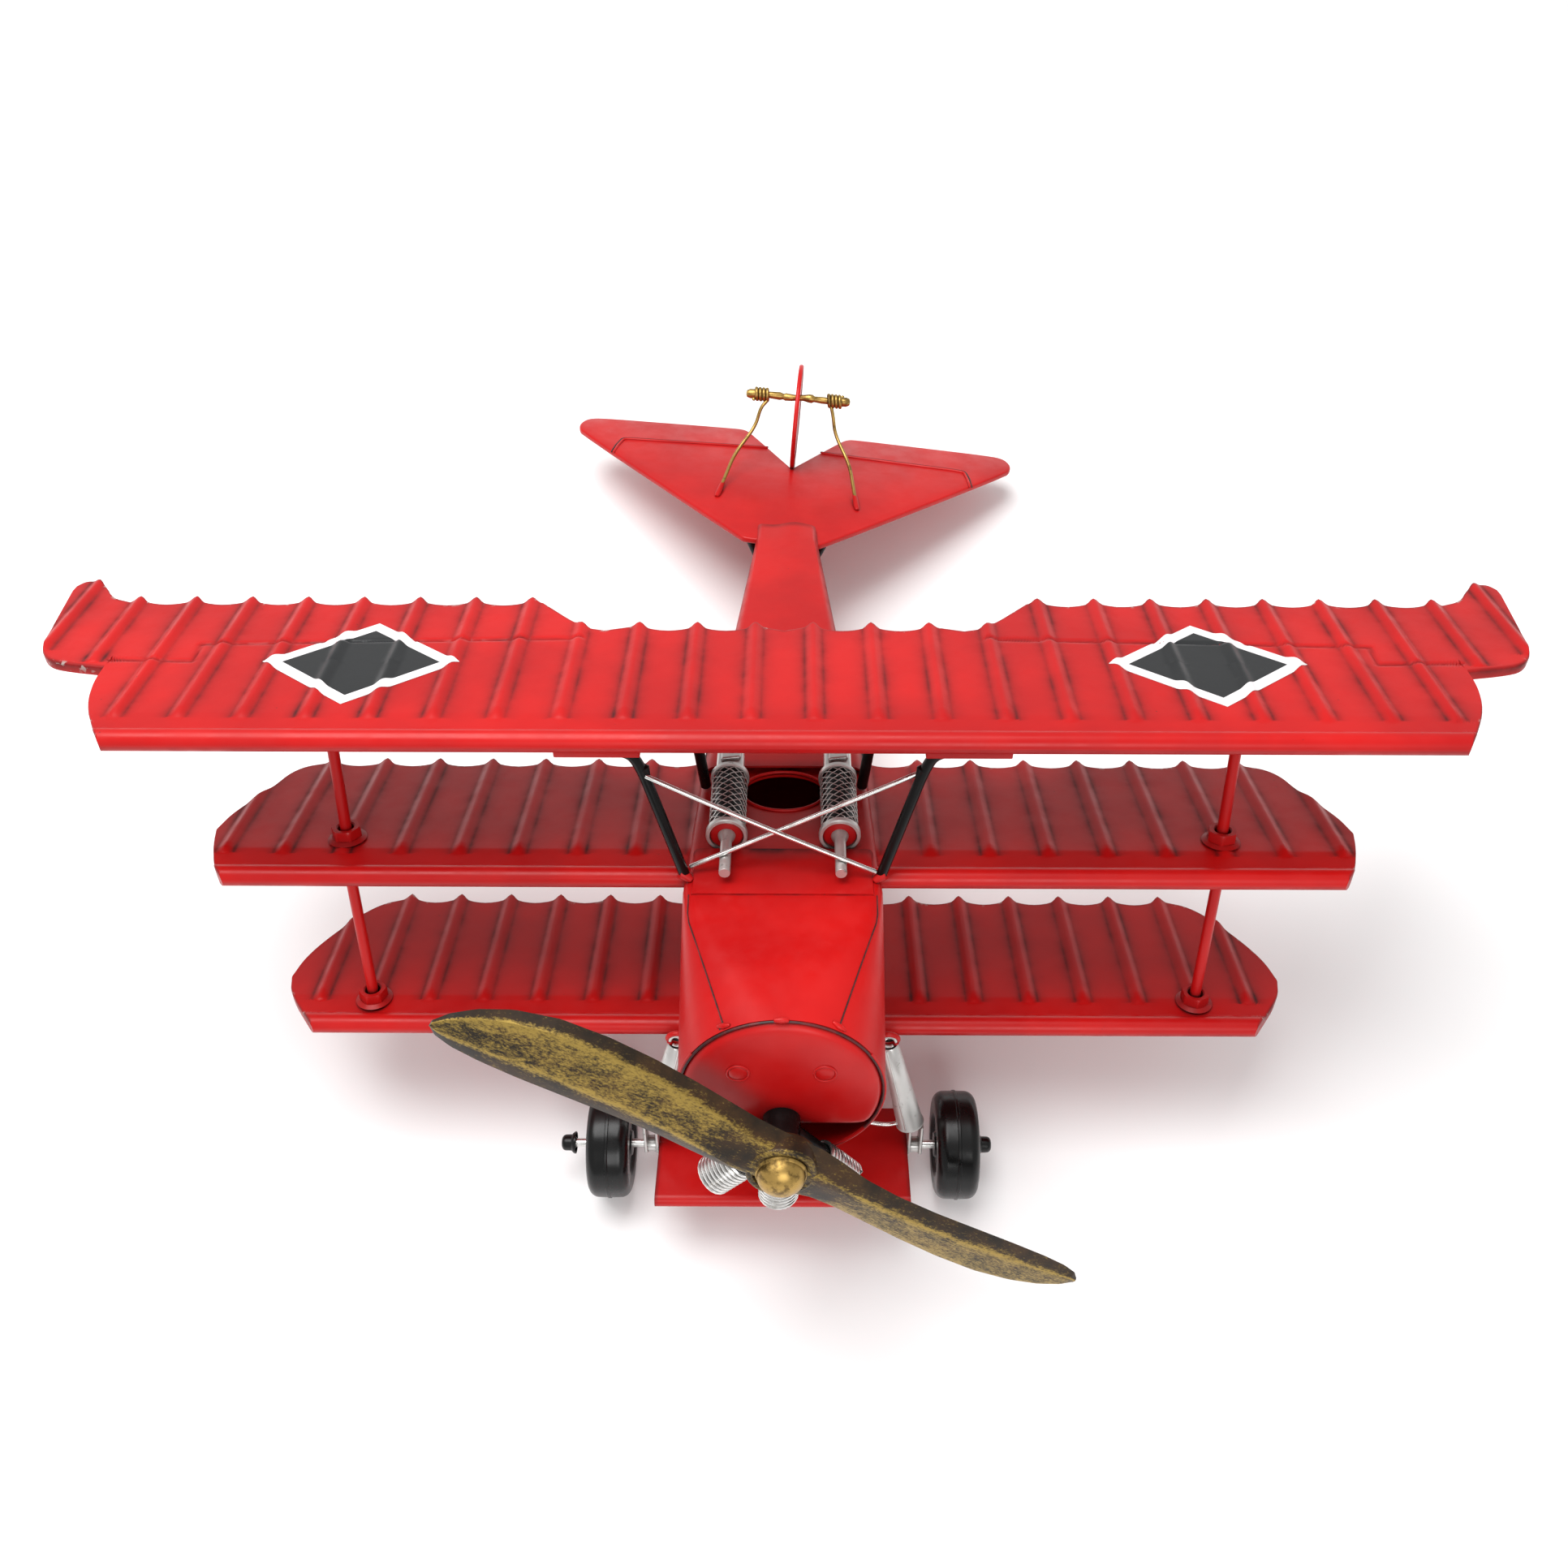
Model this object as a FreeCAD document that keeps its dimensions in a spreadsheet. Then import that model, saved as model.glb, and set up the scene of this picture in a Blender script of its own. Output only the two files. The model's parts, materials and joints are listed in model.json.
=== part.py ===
import FreeCAD, Part
import math
import os

# A tinplate triplane ornament.  Every piece is drawn in the airframe frame: X across the span, Y from
# the nose to the tail, Z up, with the origin on the top wing where the ribs start.  One placement then
# tips the finished airframe back so that it stands on its two wheels and its tail skid, with the floor
# at Z = 0.  All sizes are millimetres.

DIMENSIONS = [
    # attitude on the floor
    ("ground_angle", 19.0), ("datum_setback", -60.95),
    # wings
    ("rib_pitch", 15.6), ("rib_radius", 0.9), ("bead_radius", 2.8), ("bead_setback", 9.8),
    ("skin_front", 3.6), ("skin_rear", 1.2), ("scallop_depth", 2.6),
    ("top_chord", 44.2), ("aileron_chord", 58.0), ("top_slope", 2.6),
    ("top_tip_x", 175.0), ("top_edge_x", 163.0), ("horn_tip_x", 201.0),
    ("middle_y", 1.4), ("middle_z", -45.0), ("middle_chord", 46.6), ("middle_slope", 8.0),
    ("middle_tip_x", 154.0), ("middle_edge_x", 145.5),
    ("lower_y", -2.3), ("lower_z", -97.6), ("lower_chord", 45.4), ("lower_slope", 5.0),
    ("lower_tip_x", 143.5), ("lower_edge_x", 132.0),
    # fuselage and cowl
    ("sheet_gauge", 0.8), ("box_front_y", -15.6), ("box_half_width", 25.6), ("box_roof_z", -42.8),
    ("box_floor_z", -94.8), ("cowl_front_y", -60.0), ("cowl_radius", 25.1), ("cowl_axis_z", -68.4),
    ("plate_edge_z", -79.9), ("plate_gauge", 0.9), ("vent_x", 10.3), ("vent_z", -60.2), ("vent_radius", 2.7),
    ("vent_bead", 0.45),
    ("cockpit_front_y", 16.4), ("cockpit_rear_y", 33.6), ("cockpit_half_width", 11.4),
    ("deck_front_y", 34.4), ("deck_rear_y", 173.0), ("deck_seat_z", -45.0),
    ("sternpost_y", 207.0), ("firewall_y", -48.0),
    # engine and propeller
    ("thrust_z", -77.2), ("shaft_radius", 2.0), ("running_gap", 0.05), ("snug_gap", 0.02),
    ("crankcase_radius", 4.6), ("crankcase_front_y", -70.6), ("cylinder_y", -65.8),
    ("cylinder_inner", 13.9), ("cylinder_outer", 24.4), ("coil_radius", 5.2), ("coil_wire", 1.17),
    ("spigot_radius", 3.9), ("cylinder_angle", 268.0), ("cylinder_step", 43.0),
    ("hub_rear_y", -71.4), ("hub_front_y", -78.2), ("hub_radius", 8.6), ("blade_reach", 90.0),
    ("blade_angle", 33.7), ("nut_radius", 6.4), ("nut_rim", 1.3), ("nut_dome", 4.2),
    # struts and wires
    ("interplane_x", 117.0), ("interplane_radius", 1.5), ("nut_flats", 7.0), ("nut_height", 3.2),
    ("nut_bore", 2.1), ("washer_radius", 3.8), ("washer_gauge", 0.8), ("washer_play", 0.3),
    ("cabane_radius", 1.35), ("brace_radius", 0.6), ("foot_gauge", 1.4),
    # guns
    ("gun_x", 14.8), ("gun_z", -38.6), ("jacket_front_y", -0.8), ("jacket_rear_y", 25.4),
    ("ring_radius", 5.5), ("jacket_radius", 4.9), ("jacket_wall", 0.7), ("ring_width", 2.4),
    ("muzzle_y", -15.2), ("barrel_radius", 1.5), ("receiver_width", 7.6), ("receiver_height", 8.6),
    ("receiver_rear_y", 34.2),
    # tail
    ("tail_pivot_y", 193.0), ("tail_plane_z", -41.4), ("tail_gauge", 2.2), ("tail_roll", 4.3),
    ("tail_yaw", -3.4), ("rudder_gauge", 1.6), ("rudder_radius", 20.0), ("rudder_y", 235.6),
    ("rudder_z", -26.5), ("horn_y", 229.3), ("horn_z", -15.6), ("horn_half", 19.0),
    ("horn_bar_radius", 1.3), ("horn_coil_radius", 2.7), ("horn_wire_radius", 0.65),
    # undercarriage
    ("axle_y", -23.3), ("axle_z", -137.5), ("axle_radius", 1.25), ("wheel_radius", 15.6),
    ("wheel_width", 12.0), ("wheel_x", 50.0), ("bracket_x", 38.2), ("bracket_width", 3.6),
    ("fairing_half", 36.0), ("fairing_front_y", -44.5), ("fairing_rear_y", -11.5),
    ("fairing_gauge", 4.2), ("fairing_edge", 3.0), ("cap_radius", 3.2), ("cap_length", 4.6),
    ("right_cap_x", 56.4), ("left_cap_x", 60.4),
    ("skid_radius", 1.4), ("skid_foot_length", 9.0), ("skid_foot_gauge", 1.6),
]

doc = FreeCAD.newDocument("triplane_ornament")
sheet = doc.addObject("Spreadsheet::Sheet", "Dimensions")
for row, (alias, value) in enumerate(DIMENSIONS, start=1):
    sheet.set("A%d" % row, alias)
    sheet.set("B%d" % row, str(value))
    sheet.setAlias("B%d" % row, alias)
doc.recompute()

V = FreeCAD.Vector
ACROSS = V(1, 0, 0)
ALONG = V(0, 1, 0)
UP = V(0, 0, 1)
FULL_TURN = 360.0
nodes = []


def size(alias):
    """A driving dimension, read from the sheet."""
    return float(sheet.get(alias))


PITCH = size("rib_pitch")
GROUND = FreeCAD.Rotation(ACROSS, -size("ground_angle"))


def ground_placement():
    """Tips the airframe tail-down and lifts it until the tyres touch Z = 0."""
    axle = GROUND.multVec(V(0, size("axle_y"), size("axle_z")))
    return FreeCAD.Placement(V(0, size("datum_setback"), size("wheel_radius") - axle.z), GROUND)


STAND = ground_placement()


def tail_placement():
    """The tail unit sits a little rolled and yawed on the stern, as it was soldered."""
    pivot = V(0, size("tail_pivot_y"), size("tail_plane_z"))
    turn = FreeCAD.Rotation(UP, size("tail_yaw")).multiply(FreeCAD.Rotation(ALONG, size("tail_roll")))
    return STAND.multiply(FreeCAD.Placement(pivot - turn.multVec(pivot), turn))


TAIL = tail_placement()


# ---------------------------------------------------------------- helpers

def keep(obj, label, placement=None):
    """Registers a finished document object as one sub-part of the model."""
    obj.Label = label
    obj.Placement = placement or STAND
    nodes.append(obj)
    return obj


def add_shape(label, shape, placement=None):
    """A sub-part whose outline neither sketches nor primitives suit."""
    obj = doc.addObject("Part::Feature", label)
    obj.Shape = shape
    return keep(obj, label, (placement or STAND).multiply(shape.Placement))


def primitive(kind, name, sizes):
    """A Part primitive whose properties are bound to cells of the sheet."""
    obj = doc.addObject("Part::" + kind, name)
    for prop, expression in sizes.items():
        obj.setExpression(prop, expression)
    return obj


def combine(kind, label, base, tool, placement=None):
    """A Part boolean of two document objects, kept as one sub-part."""
    obj = doc.addObject("Part::" + kind, label)
    obj.Base = base
    obj.Tool = tool
    doc.recompute()
    return keep(obj, label, placement)


def aim(start, end):
    """The placement that puts a primitive's Z axis on the line from start to end."""
    return FreeCAD.Placement(start, FreeCAD.Rotation(UP, end - start))


def rod(label, start, end, radius_alias, placement=None):
    """A straight round bar between two points."""
    bar = doc.addObject("Part::Cylinder", label)
    bar.setExpression("Radius", "Dimensions." + radius_alias)
    bar.Height = (end - start).Length
    return keep(bar, label, (placement or STAND).multiply(aim(start, end)))


def bent_path(points, bend):
    """Straight runs joined by tangent arcs."""
    edges = []
    last = points[0]
    for before, corner, after in zip(points, points[1:], points[2:]):
        inward = (before - corner).normalize()
        outward = (after - corner).normalize()
        half_turn = (math.pi - inward.getAngle(outward)) / 2.0
        reach = bend * math.tan(half_turn)
        first = corner + inward * reach
        third = corner + outward * reach
        bisector = (inward + outward).normalize()
        middle = corner + bisector * (bend / math.cos(half_turn) - bend)
        edges.append(Part.LineSegment(last, first).toShape())
        edges.append(Part.Arc(first, middle, third).toShape())
        last = third
    edges.append(Part.LineSegment(last, points[-1]).toShape())
    return Part.Wire(edges)


def bent_rod_shape(points, radius, bend):
    """A round bar swept along a bent path."""
    path = bent_path(points, bend)
    profile = Part.Wire(Part.makeCircle(radius, points[0], points[1] - points[0]))
    return path.makePipeShell([profile], True, False)


def polygon(points):
    return Part.makePolygon(points + [points[0]])


def prism(points, sweep):
    """A flat outline pushed along a vector."""
    return Part.Face(polygon(points)).extrude(sweep)


def mirrored(shape):
    return shape.mirror(V(0, 0, 0), ACROSS)


def box(low, high):
    return Part.makeBox(high.x - low.x, high.y - low.y, high.z - low.z, low)


def upright_edges(shape):
    return [edge for edge in shape.Edges if abs(edge.Vertexes[0].Z - edge.Vertexes[-1].Z) > 1.0]


def side_name(side):
    return "left" if side < 0 else "right"


def coil_shape(turns, wire, outer, start, axis):
    """A close-wound coil as a sleeve with one rounded ridge for each turn."""
    inner = outer - wire
    ridge = wire / 2.0
    edges = []
    for turn in range(turns):
        low = turn * wire
        foot = V(outer - ridge, 0, low)
        crown = V(outer, 0, low + ridge)
        head = V(outer - ridge, 0, low + wire)
        edges.append(Part.Arc(foot, crown, head).toShape())
    top = turns * wire
    edges.append(Part.makeLine(V(outer - ridge, 0, top), V(inner, 0, top)))
    edges.append(Part.makeLine(V(inner, 0, top), V(inner, 0, 0)))
    edges.append(Part.makeLine(V(inner, 0, 0), V(outer - ridge, 0, 0)))
    sleeve = Part.Face(Part.Wire(edges)).revolve(V(0, 0, 0), UP, FULL_TURN)
    sleeve.Placement = aim(start, start + axis)
    return sleeve


# ---------------------------------------------------------------- wings

BEAD_DROP = 1.0


class Wing:
    """Shared geometry of one pressed-tin wing with a rolled leading edge."""

    def __init__(self, front_y, top_z, slope_alias):
        self.y = front_y
        self.z = top_z
        self.fall = math.tan(math.radians(size(slope_alias)))

    def top(self, y):
        """Height of the upper skin at a station along the chord."""
        return self.z - max(0.0, y - self.y) * self.fall

    def under(self, y, chord):
        """Height of the lower skin at a station along the chord."""
        share = min(1.0, max(0.0, (y - self.y) / chord))
        gauge = size("skin_front") + (size("skin_rear") - size("skin_front")) * share
        return self.top(y) - gauge

    def under_lean(self, chord):
        """The turn that lays a flat disc against the lower skin."""
        taper = (size("skin_front") - size("skin_rear")) / chord
        return FreeCAD.Rotation(UP, V(0, self.fall - taper, 1))

    def section(self, chord, grow=0.0):
        """Upper skin, tail, lower skin and the rolled bead at the nose."""
        bead_y = self.y - size("bead_setback")
        bead_z = self.z - BEAD_DROP
        radius = size("bead_radius") + grow
        rear = self.y + chord
        skin = [
            V(0, bead_y, self.z + grow),
            V(0, self.y, self.z + grow),
            V(0, rear, self.top(rear) + grow),
            V(0, rear, self.under(rear, chord) - grow),
            V(0, self.y, self.z - size("skin_front") - grow),
            V(0, bead_y, self.z - size("skin_front") - grow),
        ]
        return skin, V(0, bead_y, bead_z), radius

    def slab(self, half, chord, grow=0.0):
        """The full-span section before the outline is cut."""
        skin, centre, radius = self.section(chord, grow)
        shift = V(-half, 0, 0)
        body = prism([point + shift for point in skin], V(2 * half, 0, 0))
        bead = Part.makeCylinder(radius, 2 * half, centre + shift, ACROSS)
        return body.fuse(bead)

    def rib(self, x, rear, front=None):
        """One embossed rib, rounded at both ends, proud of the upper skin."""
        radius = size("rib_radius")
        start_y = self.y if front is None else front
        start = V(x, start_y, self.top(start_y))
        end = V(x, rear, self.top(rear))
        bar = Part.makeCylinder(radius, (end - start).Length, start, end - start)
        return bar.fuse([Part.makeSphere(radius, start), Part.makeSphere(radius, end)])


def scalloped_edge(x_from, x_to, y_rib, depth):
    """Trailing edge points: fullest at each rib and pulled in between the ribs."""
    points = []
    steps = int(round(abs(x_to - x_from) / PITCH))
    direction = 1 if x_to > x_from else -1
    for index in range(steps + 1):
        x = x_from + direction * index * PITCH
        points.append((x, y_rib))
        if index < steps:
            points.append((x + direction * 0.25 * PITCH, y_rib - 0.8 * depth))
            points.append((x + direction * 0.5 * PITCH, y_rib - depth))
            points.append((x + direction * 0.75 * PITCH, y_rib - 0.8 * depth))
    return points


def outline_prism(half_outline, low_z, high_z):
    """A plan outline given for the right half, mirrored and pushed upwards."""
    right = [V(x, y, low_z) for x, y in half_outline]
    left = [V(-x, y, low_z) for x, y in reversed(half_outline)]
    return prism(right + left, V(0, 0, high_z - low_z))


def add_wing(label, wing, outline, ribs, chord):
    """Cuts the section to its plan outline and presses the ribs."""
    half = max(x for x, y in outline) + PITCH
    plan = outline_prism(outline, wing.z - 20, wing.z + 10)
    skin = wing.slab(half, chord).common(plan)
    pressed = skin.fuse([wing.rib(side * x, rear, front) for x, rear, front in ribs for side in (-1, 1)])
    if wing is middle:
        pressed = pressed.cut(cockpit_bay())
    return add_shape(label, pressed.removeSplitter())


top = Wing(0.0, 0.0, "top_slope")
middle = Wing(size("middle_y"), size("middle_z"), "middle_slope")
lower = Wing(size("lower_y"), size("lower_z"), "lower_slope")


def build_top_wing():
    """Parallel-chord centre, wider aileron bays and a balance horn beyond each tip."""
    depth = size("scallop_depth")
    nose = -size("bead_setback") - size("bead_radius")
    chord = size("top_chord")
    wide = size("aileron_chord")
    tip = size("top_tip_x")
    horn = size("horn_tip_x")
    outline = scalloped_edge(0.5 * PITCH, 2.5 * PITCH, chord, depth)
    outline += [(3.1 * PITCH, chord - depth), (3.5 * PITCH, chord - 1.0), (4.3 * PITCH, wide - 1.6)]
    outline += scalloped_edge(4.5 * PITCH, 11.5 * PITCH, wide, depth)
    outline += [(horn - 13.0, wide + 1.0), (horn - 5.5, wide + 9.5), (horn - 1.5, wide + 11.0)]
    outline += [(horn, wide + 7.5), (horn - 5.0, 31.5), (horn - 8.5, 26.0), (horn - 13.0, 23.6)]
    outline += [(tip - 0.5, 21.4), (tip, 13.5), (tip - 2.6, 3.5), (tip - 8.0, -6.5)]
    outline += [(size("top_edge_x"), nose)]
    ribs = [((index + 0.5) * PITCH, chord - 0.4, 0.0) for index in range(4)]
    ribs += [((index + 0.5) * PITCH, wide - 0.6, 0.0) for index in range(4, 11)]
    ribs += [(11.5 * PITCH, wide - 0.6, 25.0), (12.5 * PITCH, wide + 7.0, 31.0)]
    add_wing("top_wing", top, outline, ribs, wide + 12.0)


def build_plain_wing(label, wing, chord_alias, tip_alias, edge_alias, rib_count):
    """A wing with raked rounded tips and no ailerons."""
    depth = size("scallop_depth")
    chord = size(chord_alias)
    rear = wing.y + chord
    nose = wing.y - size("bead_setback") - size("bead_radius")
    tip = size(tip_alias)
    last_rib = (rib_count - 0.5) * PITCH
    outline = scalloped_edge(0.5 * PITCH, last_rib - PITCH, rear, depth)
    outline += [(last_rib - 0.35 * PITCH, rear - 3.8), (tip - 7.5, rear - 16.5), (tip - 1.6, rear - 28.0)]
    outline += [(tip, rear - 37.0), (tip - 1.5, rear - 44.5), (size(edge_alias) + 3.5, nose + 4.5)]
    outline += [(size(edge_alias), nose)]
    ribs = [((index + 0.5) * PITCH, rear - 0.6, wing.y) for index in range(rib_count - 1)]
    ribs.append((last_rib, rear - 12.0, wing.y))
    add_wing(label, wing, outline, ribs, chord)


# ---------------------------------------------------------------- fuselage

def rectangle_section(y, half_width, roof, floor):
    return polygon([
        V(-half_width, y, floor), V(half_width, y, floor),
        V(half_width, y, roof), V(-half_width, y, roof),
    ])


def tapered_box(stations, inset):
    """A ruled box through stations of (y, half width, roof, floor), shrunk by an inset."""
    wires = [rectangle_section(y, half - inset, roof - inset, floor + inset)
             for y, half, roof, floor in stations]
    return Part.makeLoft(wires, True, True)


def wing_slot(wing, chord):
    """The passage that a wing needs through the fuselage sheet."""
    return wing.slab(size("box_half_width") + 10.0, chord, 0.12)


def fuselage_stations():
    """Station, half width, roof and floor of the box from the cowl to the sternpost."""
    half = size("box_half_width")
    seat = size("deck_seat_z")
    floor = size("box_floor_z")
    return [
        (size("box_front_y"), half, size("box_roof_z"), floor),
        (size("deck_front_y"), half - 2.2, seat, floor + 2.4),
        (162.0, 11.2, seat, -63.0),
        (size("sternpost_y"), 1.8, seat, -57.5),
    ]


def build_fuselage():
    """A folded box that tapers to the sternpost, open where the cowl joins it."""
    roof = size("box_roof_z")
    stations = fuselage_stations()
    front, half, roof_front, floor_front = stations[0]
    hollow = [(front - 1.0, half, roof_front, floor_front)] + stations[1:3]
    hollow.append((size("sternpost_y") - 12.0, 4.2, size("deck_seat_z"), -58.9))
    shell = tapered_box(stations, 0.0).cut(tapered_box(hollow, size("sheet_gauge")))
    over_wing = box(V(-30, -1.6, middle.z - 3.0), V(30, size("cockpit_front_y") - 0.1, roof + 5.0))
    width = size("cockpit_half_width")
    cockpit_middle = (size("cockpit_front_y") + size("cockpit_rear_y")) / 2.0
    reach = (size("cockpit_rear_y") - size("cockpit_front_y")) / 2.0
    well = Part.makeCylinder(width, 30.0, V(0, 0, roof - 15.0), UP)
    squeeze = FreeCAD.Matrix()
    squeeze.scale(1.0, reach / width, 1.0)
    well = well.transformGeometry(squeeze)
    well.translate(V(0, cockpit_middle, 0))
    bay = box(V(-40, front - 5, -70), V(40, size("cockpit_front_y") - 0.1, -30))
    slot = wing_slot(middle, size("middle_chord")).common(bay)
    add_shape("fuselage_shell", shell.cut(well).cut(over_wing).cut(slot))


def cowl_wire(y, share, inset):
    """A section part of the way from a rounded square (0) to a circle (1), in eight edges."""
    half = size("box_half_width")
    roof = size("box_roof_z")
    floor = size("box_floor_z")
    radius = size("cowl_radius") - inset
    axis_z = size("cowl_axis_z")
    if share < 0.5:
        corner = 2.4 - inset
        edges = []
        right, left = half - inset, -half + inset
        up, down = roof - inset, floor + inset
        diagonal = corner * (1.0 - math.sqrt(0.5))
        edges.append(Part.makeLine(V(left + corner, y, up), V(right - corner, y, up)))
        edges.append(Part.Arc(V(right - corner, y, up), V(right - diagonal, y, up - diagonal),
                              V(right, y, up - corner)).toShape())
        edges.append(Part.makeLine(V(right, y, up - corner), V(right, y, down + corner)))
        edges.append(Part.Arc(V(right, y, down + corner), V(right - diagonal, y, down + diagonal),
                              V(right - corner, y, down)).toShape())
        edges.append(Part.makeLine(V(right - corner, y, down), V(left + corner, y, down)))
        edges.append(Part.Arc(V(left + corner, y, down), V(left + diagonal, y, down + diagonal),
                              V(left, y, down + corner)).toShape())
        edges.append(Part.makeLine(V(left, y, down + corner), V(left, y, up - corner)))
        edges.append(Part.Arc(V(left, y, up - corner), V(left + diagonal, y, up - diagonal),
                              V(left + corner, y, up)).toShape())
        return Part.Wire(edges)
    breaks = [122.0, 58.0, 32.0, -32.0, -58.0, -122.0, -148.0, -212.0, -238.0]

    def rim(angle):
        turn = math.radians(angle)
        return V(radius * math.cos(turn), y, axis_z + radius * math.sin(turn))

    arcs = [Part.Arc(rim(a), rim((a + b) / 2.0), rim(b)).toShape() for a, b in zip(breaks, breaks[1:])]
    return Part.Wire(arcs)


def cockpit_bay():
    """The space behind the front of the cockpit that the middle wing leaves to the fuselage."""
    hull = tapered_box(fuselage_stations(), -0.1)
    bay = box(V(-40, size("cockpit_front_y") - 0.2, -70), V(40, 60, -30))
    return hull.common(bay).fuse(hull.common(bay).translated(V(0, 0, 3.0)))


def build_cowl():
    """The nose shell: square where it meets the box and round at the engine."""
    gauge = size("sheet_gauge")
    front = size("cowl_front_y")
    back = size("box_front_y") - 0.05
    outer = Part.makeLoft([cowl_wire(back, 0, 0.0), cowl_wire(front, 1, 0.0)], True, True)
    inner = Part.makeLoft([cowl_wire(back, 0, gauge), cowl_wire(front, 1, gauge)], True, True)
    add_shape("cowl", outer.cut(inner))


def build_nose_plate():
    """The pressed face of the cowl: round above, cut level below, with two blind vents."""
    gauge = size("plate_gauge")
    front = size("cowl_front_y")
    radius = size("cowl_radius") - size("sheet_gauge") - size("snug_gap")
    axis_z = size("cowl_axis_z")
    disc = Part.makeCylinder(radius, gauge, V(0, front + gauge, axis_z), -ALONG)
    below = box(V(-radius - 1, front - 1, axis_z - radius - 1),
                V(radius + 1, front + 3, size("plate_edge_z")))
    arch = Part.makeCylinder(size("crankcase_radius") + 0.3, 4.0, V(0, front - 1, size("thrust_z")), ALONG)
    plate = disc.cut(below).cut(arch)
    for side in (-1, 1):
        centre = V(side * size("vent_x"), front, size("vent_z"))
        ring = Part.makeTorus(size("vent_radius"), size("vent_bead"), centre, ALONG)
        plate = plate.fuse(ring)
    add_shape("nose_plate", plate.removeSplitter())


def build_firewall():
    """A disc inside the cowl that carries the crankcase."""
    back = size("firewall_y")
    radius = size("cowl_radius") - size("sheet_gauge") - 0.3
    disc = Part.makeCylinder(radius, 1.0, V(0, back, size("cowl_axis_z")), -ALONG)
    hole = Part.makeCylinder(size("crankcase_radius") + size("snug_gap"), 4.0,
                             V(0, back + 1, size("thrust_z")), -ALONG)
    add_shape("firewall", disc.cut(hole))


def build_nose_deck():
    """The flat sheet that laps back from the cowl over the root of the middle wing."""
    front = size("box_front_y") - 3.0
    high = size("box_roof_z") + 0.75
    half = size("box_half_width") - 1.0
    low = size("box_roof_z") + 0.05
    sheet_metal = box(V(-half, front, low), V(half, -1.6, high))
    add_shape("nose_deck", sheet_metal)


def build_rear_deck():
    """The turtle deck from the cockpit to the tail: a lid with shallow sides, open below."""
    gauge = size("sheet_gauge")
    seat = size("deck_seat_z") + size("snug_gap")
    front = size("deck_front_y")
    back = size("deck_rear_y")
    stations = [(front, 21.0, -42.4, seat), (162.0, 10.9, -39.6, seat), (back, 10.1, -39.2, seat)]
    inner = [(front - 1.0, 21.0, -42.4, seat - 2.0), (162.0, 10.9, -39.6, seat - 2.0),
             (back + 1.0, 10.1, -39.2, seat - 2.0)]
    lid = tapered_box(stations, 0.0).cut(tapered_box(inner, gauge))
    throat = box(V(-20, 160.4, seat - 1.0), V(20, back + 2, -40.35))
    add_shape("rear_deck", lid.cut(throat))


# ---------------------------------------------------------------- engine and propeller

def cylinder_axes():
    """Direction of each cylinder, seen from the front: left, lower and right."""
    names = ("left", "lower", "right")
    for name, index in zip(names, (-1, 0, 1)):
        angle = math.radians(size("cylinder_angle") + index * size("cylinder_step"))
        yield name, V(math.cos(angle), 0, math.sin(angle))


def build_engine():
    """A crankcase tube on the shaft line, with a spigot inside each coil-wound cylinder."""
    thrust = V(0, 0, size("thrust_z"))
    front = size("crankcase_front_y")
    back = size("firewall_y") + 3.0
    case = Part.makeCylinder(size("crankcase_radius"), back - front, thrust + V(0, front, 0), ALONG)
    hub = thrust + V(0, size("cylinder_y"), 0)
    for name, axis in cylinder_axes():
        spigot = Part.makeCylinder(size("spigot_radius"), size("cylinder_outer") - 0.8, hub, axis)
        case = case.fuse(spigot)
    bore = Part.makeCylinder(size("shaft_radius") + size("running_gap"), back - front + 2.0,
                             thrust + V(0, front - 1.0, 0), ALONG)
    add_shape("crankcase", case.cut(bore).removeSplitter())
    length = size("cylinder_outer") - size("cylinder_inner")
    turns = int(length / size("coil_wire"))
    for name, axis in cylinder_axes():
        start = hub + axis * size("cylinder_inner")
        coil = coil_shape(turns, size("coil_wire"), size("coil_radius"), start, axis)
        add_shape("cylinder_coil_" + name, coil)


# radius, chord, thickness, pitch angle and centre offset of the blade at each station
BLADE_STATIONS = [
    (4.0, 10.0, 6.2, 16.0, 0.0),
    (12.0, 12.6, 5.6, 18.0, -0.6),
    (24.0, 13.6, 4.4, 17.0, -1.6),
    (38.0, 16.4, 3.6, 15.0, -2.6),
    (54.0, 19.4, 3.0, 13.0, -3.6),
    (68.0, 19.0, 2.5, 11.0, -3.4),
    (80.0, 14.2, 2.0, 10.0, -1.6),
    (87.0, 8.4, 1.5, 9.0, 0.2),
    (90.0, 2.6, 0.9, 8.0, 1.2),
]


def blade_section(radius, chord, thickness, pitch, offset):
    """One closed section across the blade, flat-backed and crowned in front."""
    turn = math.radians(pitch)
    outline = []
    for share, height in ((-0.5, 0.0), (-0.3, 0.72), (0.0, 1.0), (0.3, 0.72), (0.5, 0.0), (0.25, -0.24),
                          (-0.25, -0.24)):
        across = share * chord
        lift = height * thickness * 0.8 - 0.2 * thickness
        side = offset + across * math.cos(turn) - lift * math.sin(turn)
        forward = -(lift * math.cos(turn)) - across * math.sin(turn)
        outline.append(V(radius, forward, side))
    curve = Part.BSplineCurve()
    curve.interpolate(outline, PeriodicFlag=True)
    return Part.Wire(curve.toShape())


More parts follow.
